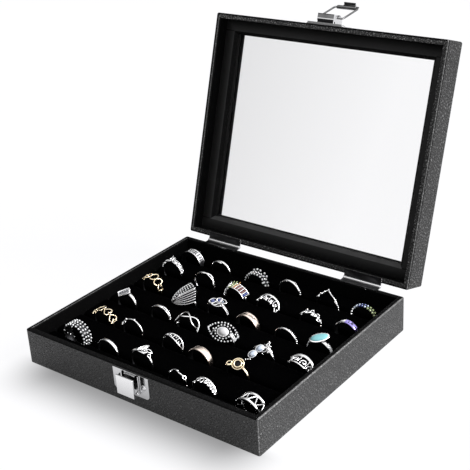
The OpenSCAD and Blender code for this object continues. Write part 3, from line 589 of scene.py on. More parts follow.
# each ring's shift from its column as a share of the pitch, and its rise in the slit, rows from front to back
ringShare = [[0.28, 0.22, 0.23, 0.2, -0.09, 0.09], [0.25, 0.15, 0.3, 0.09, 0.09],
             [0.14, 0.19, -0.01, 0.03, 0.09, 0.02], [0.15, 0.22, 0.15, 0.01, 0.04, -0.06],
             [0.04, 0.07, 0.01, -0.1, 0.1, 0.06], [-0.06, -0.14, -0.05, -0.08, -0.03, -0.04]]
ringRise = [[2, -1.4, 1.5, -3, -3, -0.4], [0, 0, -0.5, -1.5, -2.7], [1, -0.4, -0.4, 0, -3, -3],
            [1.7, -0.9, -0.7, -2.1, -3, -2.4], [2.5, 2, -1.7, -2.8, -3, 0], [-1, -1.9, -3, -0.1, -2.3, -1.9]]
bandWidth = [[8, 2.2, 2.4, 2.6, 2.6, 9], [2.2, 2.2, 2.6, 5.5, 2.2], [3, 2.8, 3.4, 2.6, 2.2, 3],
             [3.2, 4, 3, 5.5, 2, 2.6], [3.4, 1.8, 3.6, 2.4, 2.2, 5], [6.4, 1.8, 1.8, 2, 2, 3.4]]


# the slits lie a pitch apart, about the middle of the insert
def slitY(row):
    return (row - 2.5) * insert["slitPitch"]


# turns points of the slits' frame to where the slits lie in the insert
def turned(points):
    turn = math.radians(insert["slitTurn"])
    x, y = points[..., 0], points[..., 1]
    c, s = math.cos(turn), math.sin(turn)
    return np.stack([x * c + y * s, y * c - x * s, points[..., 2]], -1)


# a ring's centre in the slits' frame
def ringPlace(row, place):
    x = (place - 2.5 + ringShare[row][place]) * insert["columnPitch"]
    return np.array([x, slitY(row), insert["ringHeight"] + ringRise[row][place]])


# a rounded bar along x whose sides give way where a ring stands in the slit
def makeRolls():
    rowCount = len(ringShare)
    slant = math.tan(math.radians(insert["slitTurn"]))
    low, high, crown, steps = (insert[k] for k in ("low", "high", "crown", "steps"))
    half = insert["width"] / 2
    along = np.concatenate([[-half] * 2, np.linspace(-half + 0.4, half - 0.4, steps), [half] * 2])
    shrink = np.concatenate([[0, 0.93], np.full(steps, 1.0), [0.93, 0]])[:, None]
    for k in range(rowCount + 1):
        y0 = -insert["depth"] / 2 if k == 0 else slitY(k - 1) + insert["slit"] / 2
        y1 = insert["depth"] / 2 if k == rowCount else slitY(k) - insert["slit"] / 2
        outline = refine(fillet([(y0, low), (y1, low), (y1, high), (y0, high)], [0.6, 0.6, crown, crown], 9), 1.5)
        middle = np.array([(y0 + y1) / 2, (low + high) / 2])
        y = middle[0] + (outline[None, :, 0] - middle[0]) * shrink
        z = middle[1] + (outline[None, :, 1] - middle[1]) * shrink
        x = along[:, None] + 0 * y
        for row, side in ((k - 1, 1), (k, -1)):
            if 0 <= row < rowCount:
                near = np.clip(1 - np.abs(y - slitY(row)) / insert["giveDepth"], 0, 1) ** 2
                for place, wide in enumerate(bandWidth[row]):
                    ringAt = turned(ringPlace(row, place))[0]
                    push = np.clip((insert["ringLength"] / 2 - np.abs(x - ringAt)) / insert["giveFade"], 0, 1)
                    push = push * push * (3 - 2 * push) * (z > low + 2)
                    y = y + side * near * push * max(wide / 2 - 0.05, 0)
                    z = z + insert["giveLift"] * near * push
        # the slits' sides slant with the slits while the walls' sides stay straight
        share = np.clip((outline[None, :, 0] - y0) / (y1 - y0), 0, 1)
        share = share if k == 0 else 1 - share if k == rowCount else np.ones_like(share)
        part = surface(np.stack([x, y - x * slant * share, z], -1), "velvet", closeRows=False, closeColumns=True)
        roll = makePiece(f"velvetRoll{k + 1}", [part], "insert", ["velvet_rolls"])


makeRolls()
print("rolls made")

# rings: x along the band, y away from the finger, z across the band
ringRadius = 10.0


# bends parts from the flat (along the band, above it, across it) round the finger, after widening them across
def wrap(parts, across=1.0):
    bent = []
    for points, quads, colour, smooth in parts:
        turn, reach = points[:, 0] / ringRadius, ringRadius + points[:, 1]
        curved = np.stack([reach * np.sin(turn), reach * np.cos(turn), points[:, 2] * across], -1)
        bent.append(orient((curved, quads, colour, smooth)))
    return bent


# a domed band whose flat inside is painted shade, wide above and narrower below; a gap along it leaves room for
# openwork
def hoop(top, under, thick=1.1, colour="silver", dome=2.4, gap=None):
    steps = 80
    start, end = (gap[1] / ringRadius, tau + gap[0] / ringRadius) if gap else (0, tau)
    turn = np.linspace(start, end, steps + 1)[:steps + 1 if gap else steps, None]
    width = under + (top - under) * (0.5 + 0.5 * np.cos(turn)) ** 1.5
    across = np.sin(np.linspace(-1, 1, 11) * math.pi / 2)
    high = 0.2 + (thick - 0.2) * np.sqrt(1 - np.abs(across) ** dome)
    across, high = np.append(across, [0.88, 0, -0.88])[None], np.append(high, [0, 0, 0])[None]
    reach = ringRadius - thick + high + 0 * turn
    grid = np.stack([reach * np.sin(turn), reach * np.cos(turn), width / 2 * across], -1)
    if gap:
        ends = [grid[k:k + 1].mean(1, keepdims=True) + 0 * grid[:1] for k in (0, steps)]
        grid = np.concatenate([ends[0], grid, ends[1]])
    band = surface(grid, colour, closeRows=not gap, closeColumns=True)
    return repaint([band], lambda p: np.hypot(p[:, 0], p[:, 1]) < ringRadius - thick + 0.16, "inside")


# places in a row along the band
def spots(start, end, count, height=0.0, z=0.0):
    s = np.linspace(start, end, count)
    return np.stack([s, np.full(count, float(height)), np.full(count, float(z))], -1)


# small balls at many places
def dots(places, radius, colour="silver", sizes=1):
    return scatter(ball(radius, colour), places, sizes)


# a row of small balls
def beads(start, end, count, radius, height=0.3, z=0.0, colour="silver"):
    return dots(spots(start, end, count, height, z), radius, colour)


# a row of clear cut stones
def stones(start, end, count, radius, height, z):
    return scatter(gem(radius, "clear"), spots(start, end, count, height, z))


# a smooth wire through the points, by Catmull-Rom weights
def wire(points, radius=0.4, colour="silver", steps=40):
    points = np.array(points, float)
    last = len(points) - 1
    t = np.linspace(0, last, steps)
    k = np.minimum(t.astype(int), last - 1)
    f = (t - k)[:, None]
    p0, p1, p2, p3 = (points[np.clip(k + n, 0, last)] for n in (-1, 0, 1, 2))
    bend, twist = 2 * p0 - 5 * p1 + 4 * p2 - p3, 3 * p1 - p0 - 3 * p2 + p3
    return tube(0.5 * (2 * p1 + (p2 - p0) * f + bend * f ** 2 + twist * f ** 3), radius, colour)


# a wire all the way round the finger, which may swing from side to side by the cosine of four times the turn
def roundWire(reach, z, radius, swing=0.0):
    t = np.arange(96) * tau / 96
    path = np.stack([reach * np.sin(t), reach * np.cos(t), z + swing * np.cos(4 * t + 0.6)], -1)
    return tube(path, radius, "silver", True, 10, up=(0, 0, 1))


# an oval of wire, cosine along and sine across
def loop(rx, rz, at=(0, 0, 0), radius=0.4, colour="silver"):
    t = np.arange(28) * tau / 28
    path = np.stack([rx * np.cos(t), 0 * t, rz * np.sin(t)], -1) + np.array(at, float)
    return tube(path, radius, colour, True)


# turns an outline of places along and across by an angle about the height axis
def laid(along, across, turn):
    c, s = math.cos(math.radians(turn)), math.sin(math.radians(turn))
    return np.stack([along * c + across * s, 0 * along, across * c - along * s], -1)


# the heart curve: sixteen sine cubed across, thirteen cosine less its overtones along
def heart(size, at, radius, colour, turn):
    t = np.arange(36) * tau / 36
    tall = (13 * np.cos(t) - 5 * np.cos(2 * t) - 2 * np.cos(3 * t) - np.cos(4 * t)) / 16
    return tube(laid(np.sin(t) ** 3, tall, turn) * size + np.array(at, float), radius, colour, True)


# a leaf: half-width by the sine of its length, raised along its rib
def leaf(length, width, colour="silver", high=0.5):
    t = np.linspace(0, 1, 9)[:, None]
    around = np.arange(8)[None, :] * tau / 8
    half = width / 2 * np.sin(math.pi * t) ** 0.8
    z = half * np.cos(around)
    y = high * np.sin(math.pi * t) ** 0.7 * np.sin(around)
    return surface(np.stack([length * (t - 0.5) + 0 * z, y, z], -1), colour, closeRows=False, closeColumns=True)


# a leaf's outline as a wire with pointed ends: half-width by the square of the sine
def leafWire(length, width, at, turn=0, radius=0.36, colour="silver"):
    t = np.arange(28) * tau / 28
    half = width / 2 * np.sin(t) * np.abs(np.sin(t)) ** 0.6
    return tube(laid(length / 2 * np.cos(t), half, turn) + np.array(at, float), radius, colour, True)


# turns a ring's head so that its height points along face, and its length shows at the heading's slope in a view
# from the front right, whose axes in the ring's frame are right, up and out
def facing(parts, face, heading, at):
    right, up, out = np.array([0.81, 0, -0.58]), np.array([-0.3, 0.84, -0.46]), np.array([0.49, 0.55, 0.68])
    face = np.array(face, float) / np.linalg.norm(face)
    along = right * math.cos(math.radians(heading)) + up * math.sin(math.radians(heading))
    along -= out * (along @ face) / (out @ face)
    along -= face * (along @ face)
    along /= np.linalg.norm(along)
    turn = np.stack([along, face, np.cross(along, face)])
    return [orient((points @ turn + np.array(at, float), *rest)) for points, *rest in parts]


# four rows of balls on a wide band painted shade; the balls on the right and here and there on the left are painted
# highlights, the rest painted shade
def pebbleBand():
    parts = []
    for k, z in enumerate((-3.3, -1.1, 1.1, 3.3)):
        places = spots(-30, 30, 23, -0.1, z) + [0.5 * (k % 2), 0, 0]
        bright = (places[:, 0] > -9) | (np.arange(23) % 3 == k % 3)
        parts += [dots(places[bright], 0.8, "clear"), dots(places[~bright], 0.7, "inside")]
    return hoop(6.4, 6.4, 0.7, "inside", 6) + wrap(parts)


# a plain polished band
def plainBand():
    return hoop(2.6, 1.5, 1.0)


# a row of balls that shrink between two thin rails
def taperedBand():
    chips = dots(spots(4, 13, 7, 0.1), 0.62, sizes=np.linspace(1.15, 0.8, 7))
    rails = [wire([(3, -0.3, 0.9 * k), (8, -0.2, 0.8 * k), (13.6, -0.3, 0.4 * k)], 0.36) for k in (1, -1)]
    return hoop(2.6, 1.4, 1.0, gap=(3.2, 13.5)) + wrap([chips] + rails)


# open petals of wire round a small stone
def roseFlower():
    parts = [leafWire(5.2, 2.4, (-4.4, 0.1, 0.9), 10, 0.34), leafWire(7.6, 2.9, (0.2, 0.5, -1.6), 63, 0.34),
             leafWire(5.4, 1.1, (0.4, 0.7, -1.4), 63, 0.24), leafWire(4.6, 2.2, (5.0, 0.4, -2.0), 15, 0.34),
             loop(1.7, 1.5, (3.2, 0.8, 0.3), 0.34), wire([(-2.4, 0.1, 1.7), (1, 0.5, 2.6), (4.6, 0.4, 1.8)], 0.36)]
    parts += moved([ball(0.7, "clear")], (3.2, 0.9, 0.3)) + [loop(0.9, 1.0, (7.6, 0.3, 0.1), 0.32)]
    return hoop(1.7, 1.4, 0.9, gap=(-5.4, 8.4)) + wrap(parts, across=1.15)


# a wire that winds past three balls to a small loop
def twistBand():
    parts = [wire([(-6.5, -0.3, 1.5), (-5.4, 0.1, 0.2), (-3.4, 0.4, -1), (-0.8, 0.5, -0.7), (1.2, 0.4, 0.3),
                   (3.8, 0.4, 0.9), (6.6, 0.2, 0.1)], 0.55),
             dots([(1, 0.6, 0.1), (4.4, 0.5, 0.8), (-5.8, 0, 1)], 0.95, sizes=[1, 0.85, 0.8]),
             loop(1.45, 1.35, (8.2, 0.1, 0.1), 0.45), wire([(9.6, 0, 0.1), (12, -0.3, 0.2), (15, -0.5, 0)], 0.5)]
    return hoop(1.4, 1.3, 0.9, gap=(-6.6, 14.5)) + wrap(parts)


# three leaves, then loops with a stone in each
def leafCrown():
    parts = [leafWire(4.6, 2.2, (-7.4, 0.1, 1.4), -30, 0.42), leafWire(4.8, 2.2, (-3.9, 0.4, 0.4), -45, 0.42),
             leafWire(4.6, 2.2, (-0.6, 0.4, 0.6), -60, 0.42),
             wire([(-9, -0.1, -0.6), (-5, 0.3, -1.7), (0, 0.4, -1.9), (6, 0.3, -1.7), (13, 0, -0.9)], 0.5)]
    parts += [loop(0.95, 1.5, (at, 0.3, 0.1), 0.34) for at in (2.6, 5.2, 7.8, 10.4)]
    parts += [scatter(block((0.7, 0.4, 1.7), "clear"), spots(2.6, 10.4, 4, 0.2, 0.1))]
    return hoop(2.4, 1.5, 1.0, gap=(-8.6, 12)) + wrap(parts, across=1.15)


# two round wires with a zigzag between them
def trellisBand():
    parts = [roundWire(9.3, z, 0.95) for z in (-3.6, 3.6)]
    zig = [(-17.5, -1), (-14, 1), (-10.5, -1), (-7, 1), (-3.5, -1), (0, 1), (3.5, -1), (7, 1), (10.5, -1), (14, 1),
           (17.5, -1)]
    parts += [wire([(s, -0.5, 3.4 * z), (t, -0.5, 3.4 * w)], 0.46, steps=8) for (s, z), (t, w) in zip(zig, zig[1:])]
    parts += [wire([(s, -0.5, -3.4), (s, -0.5, 3.4)], 0.34, steps=8) for s in (-12.2, -5.2)]
    return parts[:2] + wrap(parts[2:])


# three gold hearts between rows of beads and an end bar
def heartBand():
    hearts = [heart(3.0, (s, 0.2, 0), 0.36, "gold", 90) for s in (-1.6, 4.3, 10.2)]
    rows = [beads(-10.5, -4.8, 4, 0.62, 0, z, "gold") for z in (-1.7, 0.2, 2.1)]
    ends = [wire([(13.4, 0, -2.4), (13.4, 0, 2.4)], 0.42, "gold", steps=6)]
    return hoop(1.6, 1.4, 0.8, "gold", gap=(-10.8, 13.4)) + wrap(hearts + rows + ends, across=1.15)


# a bent wire with small knobs
def knobBand():
    parts = [wire([(-8.4, -0.1, 1.6), (-6.8, 0.2, 0.6), (-5, 0.4, -0.4), (-3, 0.4, 0.3), (0, 0.4, 0.1), (4, 0.3, 0),
                   (15, -0.4, 0)], 0.55),
             dots([(-5.6, 0.5, 0.2), (2.0, 0.6, 0)], 1.0, sizes=[0.9, 1]),
             dots([(-8.6, 0, 2.2), (-11, -0.2, 1.4)], 0.6)]
    return hoop(1.5, 1.3, 0.9, gap=(-8, 14)) + wrap(parts)


# two rails that run out to points, with posts and stones between them
def channelPoint():
    rails = [wire([(-8.5, -0.2, 0), (-4, 0.3, 0.9 * k), (2, 0.5, 2.0 * k), (7, 0.4, 2.2 * k), (11, 0.1, 1.4 * k),
                   (14, -0.3, 0.2 * k)], 0.5) for k in (-1, 1)]
    posts = [wire([(s, 0.3, -w), (s, 0.3, w)], 0.34, steps=6)
             for s, w in ((-1, 1.3), (2.4, 1.9), (5.8, 2.0), (9.2, 1.7))]
    stoneRow = [dots([(0.7, 0.3, 0.5), (4.1, 0.3, -0.7), (7.5, 0.3, 0.7), (-3.4, 0.3, 0)], 0.6, "clear")]
    return hoop(1.6, 1.3, 0.9, gap=(-8, 13.5)) + wrap(rails + posts + stoneRow)


# a wide rose gold band
def roseGoldBand():
    return hoop(5.4, 5.0, 1.2, "roseGold", 6)


# an oval painted shade in two gold loops, with a leaf and beads beside it
def goldDrop():
    head = [loop(2.6, 2.4, (0, 0.5, 0), 0.62, "gold"), loop(4.1, 3.7, (0, 0, 0), 0.46, "gold"),
            ball(2.1, "inside", 12, 6, flat=0.2), *moved([leaf(4.2, 1.9, "gold", 0.8)], (-6.4, 0.4, 0.2)),
            leafWire(4.0, 2.6, (-6.0, 0.2, -1.0), 30, 0.34, "gold"),
            *moved([beads(0, 3, 3, 0.6)], (5.2, 0.2, -2.6))]
    return hoop(1.9, 1.4, 1.1, "gold") + facing(head, (0.2, 0.75, 0.63), 2, (1.6, 10.8, 1))


# an oblong plate of stones in a frame, on a short neck
def pavePlate():
    border = np.array([(4.5, 0.7, 1.9), (-4.5, 0.7, 1.9), (-4.5, 0.7, -1.9), (4.5, 0.7, -1.9)], float)
    grid = np.array([(x, 0.5, z) for x in np.linspace(-3.3, 3.3, 5) for z in (-0.85, 0.85)])
    head = [block((9.4, 1.4, 4.2), "silver", 0.3), tube(border, 0.36, "silver", True, 6),
            scatter(gem(0.7, "clear"), grid), *moved([block((8.2, 0.4, 3.0), "darkMetal", 0.1)], (0, 0.62, 0))]
    neck = wire([(-1.5, 0, 0), (0, 1.6, 0.3), (1.8, 0, 0)], 0.7)
    return hoop(2.6, 1.8, 1.3) + facing(head, (0.15, 0.75, 0.65), 16, (1.4, 10.7, 3)) + wrap([neck])


# two waves that cross each other, cosine up and sine across
def crossingBand():
    s = np.linspace(-16, 16, 80)
    parts = [tube(np.stack([s, 0.1 + 0.45 * k * np.cos(s * 0.28), 2.7 * k * np.sin(0.28 * (s - 3))], -1), 0.52,
                  "silver") for k in (-1, 1)]
    return hoop(2.2, 2.0, 0.9, gap=(-14.5, 14.5)) + wrap(parts)


# an oval pearl on a disc painted shade, in two ovals of stones
def ovalHalo():
    t = np.arange(30) * tau / 30
    outer = np.stack([11.4 * np.cos(t), 0 * t, 6.4 * np.sin(t) * np.abs(np.sin(t)) ** 0.7], -1)
    inner = np.stack([5.7 * np.cos(t[::2]), 0 * t[::2] + 0.5, 4.7 * np.sin(t[::2])], -1)
    head = [dots(outer, 0.68, "clear"), dots(inner, 0.64, "clear"),
            lathe([(0, -0.8), (4.8, -0.8), (4.9, 0.0), (0, 0.1)], "inside", 24, False, (1.15, 0.85)),
            lathe([(0, -0.2), (3.6, -0.2), (3.8, 0.6), (3.4, 1.4), (2.4, 2.1), (1.2, 2.4), (0, 2.5)], "pearl", 28,
                  True, (1, 0.78)),
            loop(4.0, 3.15, (0, 0.5, 0), 0.3),
            dots([(7.6, 0.2, 0), (8.8, 0, 1), (8.8, 0, -1), (-7.6, 0.2, 0)], 0.55)]
    shoulders = [stones(k * 8, k * 13, 5, 0.66, 0.1, z) for k in (-1, 1) for z in (-0.9, 0.9)]
    return hoop(3.0, 1.8, 1.1) + facing(head, (0.25, 0.7, 0.67), -20, (3.4, 9.6, 4.0)) + wrap(shoulders)


# two pale stones one behind the other, beside a spray of leaves
def twinStones():
    face = (0.2, 0.75, 0.63)
    shape = lathe([(0, -0.6), (2.0, -0.6), (2.6, 0.3), (2.2, 1.2), (0, 1.8)], "paleBlue", 14, True, (1.12, 0.84))
    setting = [shape, loop(3.0, 2.3, (0, 0.2, 0), 0.3)]
    pair = facing(setting, face, 25, (-1.7, 7.5, 8.9)) + facing(setting, face, 25, (0.5, 9.8, 3.5))
    spray = [leafWire(4.6, 1.9, (0.6, 0, -2.0), 62, 0.36), leafWire(4.2, 1.8, (-1.8, 0, 0.4), 15, 0.34),
             leafWire(4.0, 1.7, (1.8, 0, 1.8), -40, 0.34),
             scatter(gem(0.62, "clear"), [(0.2 + 0.55 * k, 0.3, 2.2 - 1.5 * k) for k in range(5)]),
             dots([(2.2, 0.3, -4.6), (2.6, 0.2, -1.2), (-3.6, 0.2, 2.4)], 0.6)]
    arms = [wire([start, middle, (8, 0.2, 0)], 0.42) for start, middle in
            (((0, 0.3, 2.4), (4, 0.9, 0.9)), ((0.5, 0.3, -1.6), (4, 0.9, -0.6)))]
    return hoop(1.9, 1.4, 1.1) + pair + facing(spray, face, 10, (3.8, 8.6, 0.1)) + wrap(arms)


# a thick rail with three scrolls beside it
def scrollCrown():
    parts = [wire([(s, 0.5, z) for s, z in ((-7.5, -1.2), (-3, -2.5), (3, -2.9), (9, -2.4), (14.5, -1.0))], 0.9,
                  steps=50),
             wire([(-8, 0, 1.2), (-4.5, 0.2, 2.8), (0.5, 0.3, 3.2), (6, 0.2, 3.0), (12.5, -0.2, 1.8)], 0.42,
                  steps=50)]
    for s in (-1.6, 4.6, 10.2):
        parts.append(wire([(s - 1.9, 0.4, 2.2), (s - 1.9, 0.4, 0.4), (s - 0.2, 0.4, -0.6), (s + 1.2, 0.4, 0.3),
                           (s + 0.6, 0.4, 1.5), (s - 0.5, 0.4, 1.2)], 0.44))
        parts.append(wire([(s + 1.9, 0.4, -2.2), (s + 2.4, 0.4, -0.4), (s + 2.2, 0.3, 1.8)], 0.4, steps=16))
    parts += [leafWire(3.4, 1.5, (-6.6, 0, k), t, 0.34) for k, t in ((0, 0), (2.0, -30), (-1.6, 25))]
    return hoop(2.4, 1.8, 1.1, gap=(-9, 13.5)) + wrap(parts, across=1.4)


# three gold links, with leaves at one end and a fork at the other
def goldChain():
    parts = [loop(2.5, 3.0, (s, 0.2, z), 0.4, "gold") for s, z in ((-3.2, 0.4), (2.2, -0.5), (7.6, 0.4))]
    parts += [dots([(-0.4, 0.5, -1.3), (4.8, 0.5, 1.1), (-5.4, 0.3, -0.8)], 0.85, "gold"),
              leafWire(4.4, 1.9, (-8, 0, -1.3), 25, 0.38, "gold"),
              leafWire(4.0, 1.8, (-7.2, 0, 1.9), -25, 0.38, "gold"),
              wire([(9.4, 0.1, 1.0), (11.6, 0, 2.3), (14, -0.3, 2.6)], 0.42, "gold", steps=14),
              wire([(9.4, 0.1, -0.6), (12, 0, -0.6), (14.6, -0.4, -1.6)], 0.42, "gold", steps=14),
              wire([(13.8, -0.3, 2.8), (14.6, -0.4, -1.8)], 0.36, "gold", steps=8)]
    return hoop(1.6, 1.4, 0.8, "gold", gap=(-9.5, 14.5)) + wrap(parts, across=1.3)


# a shell, painted shade, that widens from its left tip and rises by the root of one less the square of its width,
# with ribs on one side and beads on the other
def domeRing():
    def shell(along, across, lift=0.0):
        half = 8.2 * (1 - (1 - along) ** 2.2) ** 0.75
        high = (3.6 * along ** 0.5 + lift) * np.sqrt(np.clip(1 - across ** 2, 0, 1)) - 0.6
        return np.stack([-10.6 + 17.4 * along + 3.2 * (1 - across ** 2) * along ** 2, high, half * across], -1)

    along, across = np.meshgrid(np.linspace(0, 1, 30), np.linspace(-1, 1, 41), indexing="ij")
    grid = shell(along, across)
    under = np.stack([grid[:, 20, 0], 0 * grid[:, 20, 1] - 1.4, 0 * grid[:, 20, 2]], -1)[:, None]
    grid = np.concatenate([grid, under], 1)
    grid = np.concatenate([grid, grid[-1:].mean(1, keepdims=True) + 0 * grid[-1:]])
    places = []
    for a in np.linspace(0.12, 0.97, 10):
        wide = 8.2 * (1 - (1 - a) ** 2.2) ** 0.75
        places += [shell(np.array(a), np.array(c), 0.2) for c in np.arange(-0.84, -0.16, 1.9 / wide)]
    ribs = [tube(shell(np.linspace(a, 1, 14), np.full(14, c), 0.15), 0.36, "silver")
            for a, c in ((0.02, 0), (0.2, 0.24), (0.15, 0.46), (0.1, 0.66), (0.05, 0.84), (0.01, 0.99),
                         (0.01, -0.99), (0.3, -0.12))]
    head = [surface(grid, "inside", closeRows=False, closeColumns=True),
            scatter(ball(0.62, "clear", 6, 5), places)] + ribs
    return hoop(3.2, 2.2, 1.2) + facing(head, (0.1, 0.8, 0.6), 20, (2.6, 8.8, 4.4))


# blue stones in two leaves and a loop, under bent wires
def blueCrown():
    head = [leafWire(6.4, 4.0, (-3.6, 0.3, 0), 20, 0.36), loop(2.0, 1.9, (1.0, 0.4, -0.8), 0.36),
            leafWire(5.4, 3.4, (4.4, 0.3, 0.1), -25, 0.36),
            wire([(-4.4, 0.1, 1.9), (-1.2, 0.1, 3.2), (1.8, 0.1, 2.0), (4.6, 0.1, 2.6)], 0.4),
            wire([(-6.2, 0.1, 0.6), (-3.4, 0.1, 3.2), (0.4, 0, 4.4), (3.4, 0, 3.8)], 0.36),
            scatter(gem(1.35, "blue"), [(-3.9, 0.3, 0.1), (1.0, 0.4, -0.8)], sizes=[1.1, 0.9]),
            scatter(gem(0.7, "paleBlue"), [(-1.6, 0.3, 0.6), (4.2, 0.3, 0.3)]),
            dots([(-0.9, 0.5, -1.8), (2.9, 0.5, -2), (5.9, 0.3, 1.4)], 0.55)]
    shoulder = [stones(4.5, 13, 8, 0.5, 0.15, z) for z in (-0.5, 0.5)]
    shoulder.append(wire([(1, 1.4, 0), (3, 0.8, 0.8), (6, 0.1, 0)], 0.4))
    return hoop(1.7, 1.4, 1.1) + facing(head, (0.1, 0.9, 0.42), -8, (1.9, 11.2, 0.9)) + wrap(shoulder)


# a row of beads on one side of the band
def halfEternity():
    return hoop(1.7, 1.4, 1.0) + wrap([beads(3.5, 15, 9, 0.52, 0.1)])


# an oval turquoise in a silver cup, with stones on both shoulders
def turquoiseOval():
    head = [lathe([(0, -1.6), (4.6, -1.6), (6.9, 0.0), (7.1, 0.4), (6.8, 0.7), (0, 0.7)], "silver", 36, True,
                  (1, 0.54)),
            lathe([(0, 0.2), (6.0, 0.4), (6.1, 0.9), (5.4, 1.4), (3.0, 1.8), (0, 1.9)], "turquoise", 36, True,
                  (1, 0.48))]
    shoulders = [stones(k * 7, k * 14, 7, 0.6, 0.1, z) for k in (-1, 1) for z in (-0.7, 0.7)]
    shoulders.append(wire([(-2.4, 0, 0), (0, 1.2, 0), (2.4, 0, 0)], 1.0, steps=12))
    return hoop(2.8, 2.0, 1.1) + facing(head, (0.1, 0.95, 0.3), 11, (0.1, 11.0, 0.3)) + wrap(shoulders)


# a bow of leaves, then three framed stones
def bowRing():
    parts = [leafWire(4.8, 2.6, (-2.4, 0.5, 1.4), 15, 0.4), leafWire(4.8, 2.6, (-1.0, 0.7, -1.8), 60, 0.4),
             leafWire(3.6, 2.2, (-6.2, 0.2, 0.6), -10, 0.38),
             wire([(-2, 0.8, -2.6), (-3, 1.0, -4.4), (-3.2, 1.2, -5.8)], 0.36, steps=10),
             dots([(0.6, 0.8, 0.2)], 0.85)]
    for s, w in ((3.4, 1.9), (7.2, 1.7), (10.8, 1.4)):
        corners = np.array([(s + 1.5, 0.5, w), (s - 1.5, 0.5, w), (s - 1.5, 0.5, -w), (s + 1.5, 0.5, -w)], float)
        parts += [tube(corners, 0.38, "silver", True, 6),
                  scatter(block((1.7, 0.5, 2 * w - 1.5), "clear", 0.15), [(s, 0.3, 0)])]
    parts += [beads(-13, -8.2, 4, 0.6, 0.1, 0.4),
              wire([(12.4, 0.2, -1.4), (13.8, 0, -0.2), (13.4, 0, 1.6)], 0.42, steps=10)]
    return hoop(2.0, 1.5, 1.0, gap=(-8, 12.5)) + wrap(parts)


# two round wires that swing apart
def waveBand():
    return [roundWire(9.5, 0, 0.6, swing=1.2), roundWire(9.3, 0, 0.42, swing=-0.5)]


# a row of coloured bars between two rails
def rainbowStones():
    colours = ["silver", "green", "green", "amber", "red", "red", "red", "blue"]
    parts = [scatter(block((1.35, 1.0, 4.4), c, 0.3), [(-6.6 + 2.35 * k, 0.3, 0)]) for k, c in enumerate(colours)]
    parts += [scatter(block((0.5, 1.3, 5.2), "silver", 0.1), spots(-0.7, 11, 6, 0.4)),
              beads(-15, -9, 5, 0.62, 0.2, 1.1), beads(-14, -8, 5, 0.62, 0.2, -1.1)]
    parts += [wire([(-8 + 2.35 * k, 0.4, 0.2), (-8 + 2.35 * k, 2.2, -2.8)], 0.34, colour, steps=5)
              for k, colour in enumerate(["silver", "silver", "green", "green", "amber"])]
    parts += [wire([(s, 0.2, z) for s in (-2, 3, 8, 12)], 0.34) for z in (-2.7, 2.7)]
    return hoop(2.0, 1.6, 0.9, gap=(-8.5, 12)) + wrap(parts, across=1.3)


# a thick rail with four hooks round balls
def pearlRail():
    parts = [wire([(-7, 0.2, -1.9), (-3, 0.4, -2.7), (3, 0.4, -2.9), (9, 0.3, -2.5), (13.6, 0, -1.2)], 0.75,
                  steps=50)]
    for s in (-4.4, 0, 4.4, 8.8):
        parts += [wire([(s - 1.6, 0.2, -2.2), (s - 1.7, 0.2, 0.2), (s - 0.2, 0.2, 1.9), (s + 1.4, 0.2, 0.8),
                        (s + 0.8, 0.2, -0.5)], 0.42, steps=24),
                  dots([(s, 0.3, 0.2), (s + 1.9, 0.2, 2.2)], 0.6)]
    parts += [loop(1.3, 1.5, (-7.6, 0, 0.8), 0.42),
              wire([(11, 0.1, 2.2), (12.8, 0, 2.9), (13.6, 0, 1.4), (12.4, 0, 0.8)], 0.45, steps=16)]
    return hoop(1.8, 1.5, 0.9, gap=(-8.8, 13)) + wrap(parts, across=1.3)


# leaves on alternate sides of a stem
def leafSpray():
    parts = []
    for k, s in enumerate(np.linspace(-6, 9, 7)):
        parts.append(leafWire(4.2, 2.0, (s, 0.4, 0.9 * (-1) ** k), 45 * (-1) ** k, 0.36))
    parts += [dots([(-3.6, 0.8, -2.4), (1.4, 0.8, -2.4), (6.4, 0.6, -2.2), (11.4, 0.2, 0)], 0.6),
              wire([(-8.5, 0, 0), (-3, 0.5, 0), (3, 0.5, 0), (13.5, -0.2, 0)], 0.36)]
    return hoop(1.9, 1.5, 0.9, gap=(-8, 13)) + wrap(parts)


# a violet band, silver on its left, with dark notches
def purpleBand():
    band = repaint(hoop(4.4, 4.2, 1.2, "purple", 6), lambda p: (p[:, 0] < -1) & (p[:, 1] > 0), "silver",
                   only="purple")
    return band + wrap([scatter(block((0.8, 0.5, 1.6), "black", 0.1), spots(2, 11, 4, -0.05, 0.4))])


# two rows of small plates between rims on a dark band
def paveBand():
    parts = [scatter(block((1.5, 0.6, 1.3), "silver", 0.15), spots(-3, 12.5, 8, 0.0, z)) for z in (-0.9, 0.9)]
    parts += [wire([(s, -0.1, z) for s in (-15, -7, 0, 7, 15)], 0.5) for z in (-2.5, 2.5)]
    return hoop(5.2, 4.2, 0.8, "darkMetal", 6) + wrap(parts)


# a plain band with a loose wire
def openBand():
    parts = [wire([(-2, -0.2, 2.6), (0.5, 0, 2.8), (3, -0.2, 2.4)], 0.5, steps=12),
             wire([(-2, -0.2, 2.6), (-4, -0.5, 0.8)], 0.4, steps=6)]
    return hoop(1.9, 1.4, 1.0) + wrap(parts)


# two staggered rows of stones, with a few more above, on a band painted shade
def beadCluster():
    s = np.arange(-14, 15, 2.7)
    parts = [dots(np.stack([s, 0 * s, 0 * s + 1.6], -1), 0.84, "clear"),
             dots(np.stack([s + 1.35, 0 * s, 0 * s - 1.6], -1), 0.84, "clear"),
             dots(np.stack([s[2:-2] + 0.6, 0 * s[2:-2] + 0.5, 0 * s[2:-2]], -1), 0.55),
             dots([(-4, 1.2, -3.2), (-1.4, 1.4, -3.6), (1.4, 1.3, -3.4), (5, 1.0, -3.6), (7.6, 0.8, -3.2),
                   (10, 0.4, 3.4)], 0.84, "clear")]
    return hoop(2.8, 2.4, 0.6, "inside", 6) + wrap(parts)


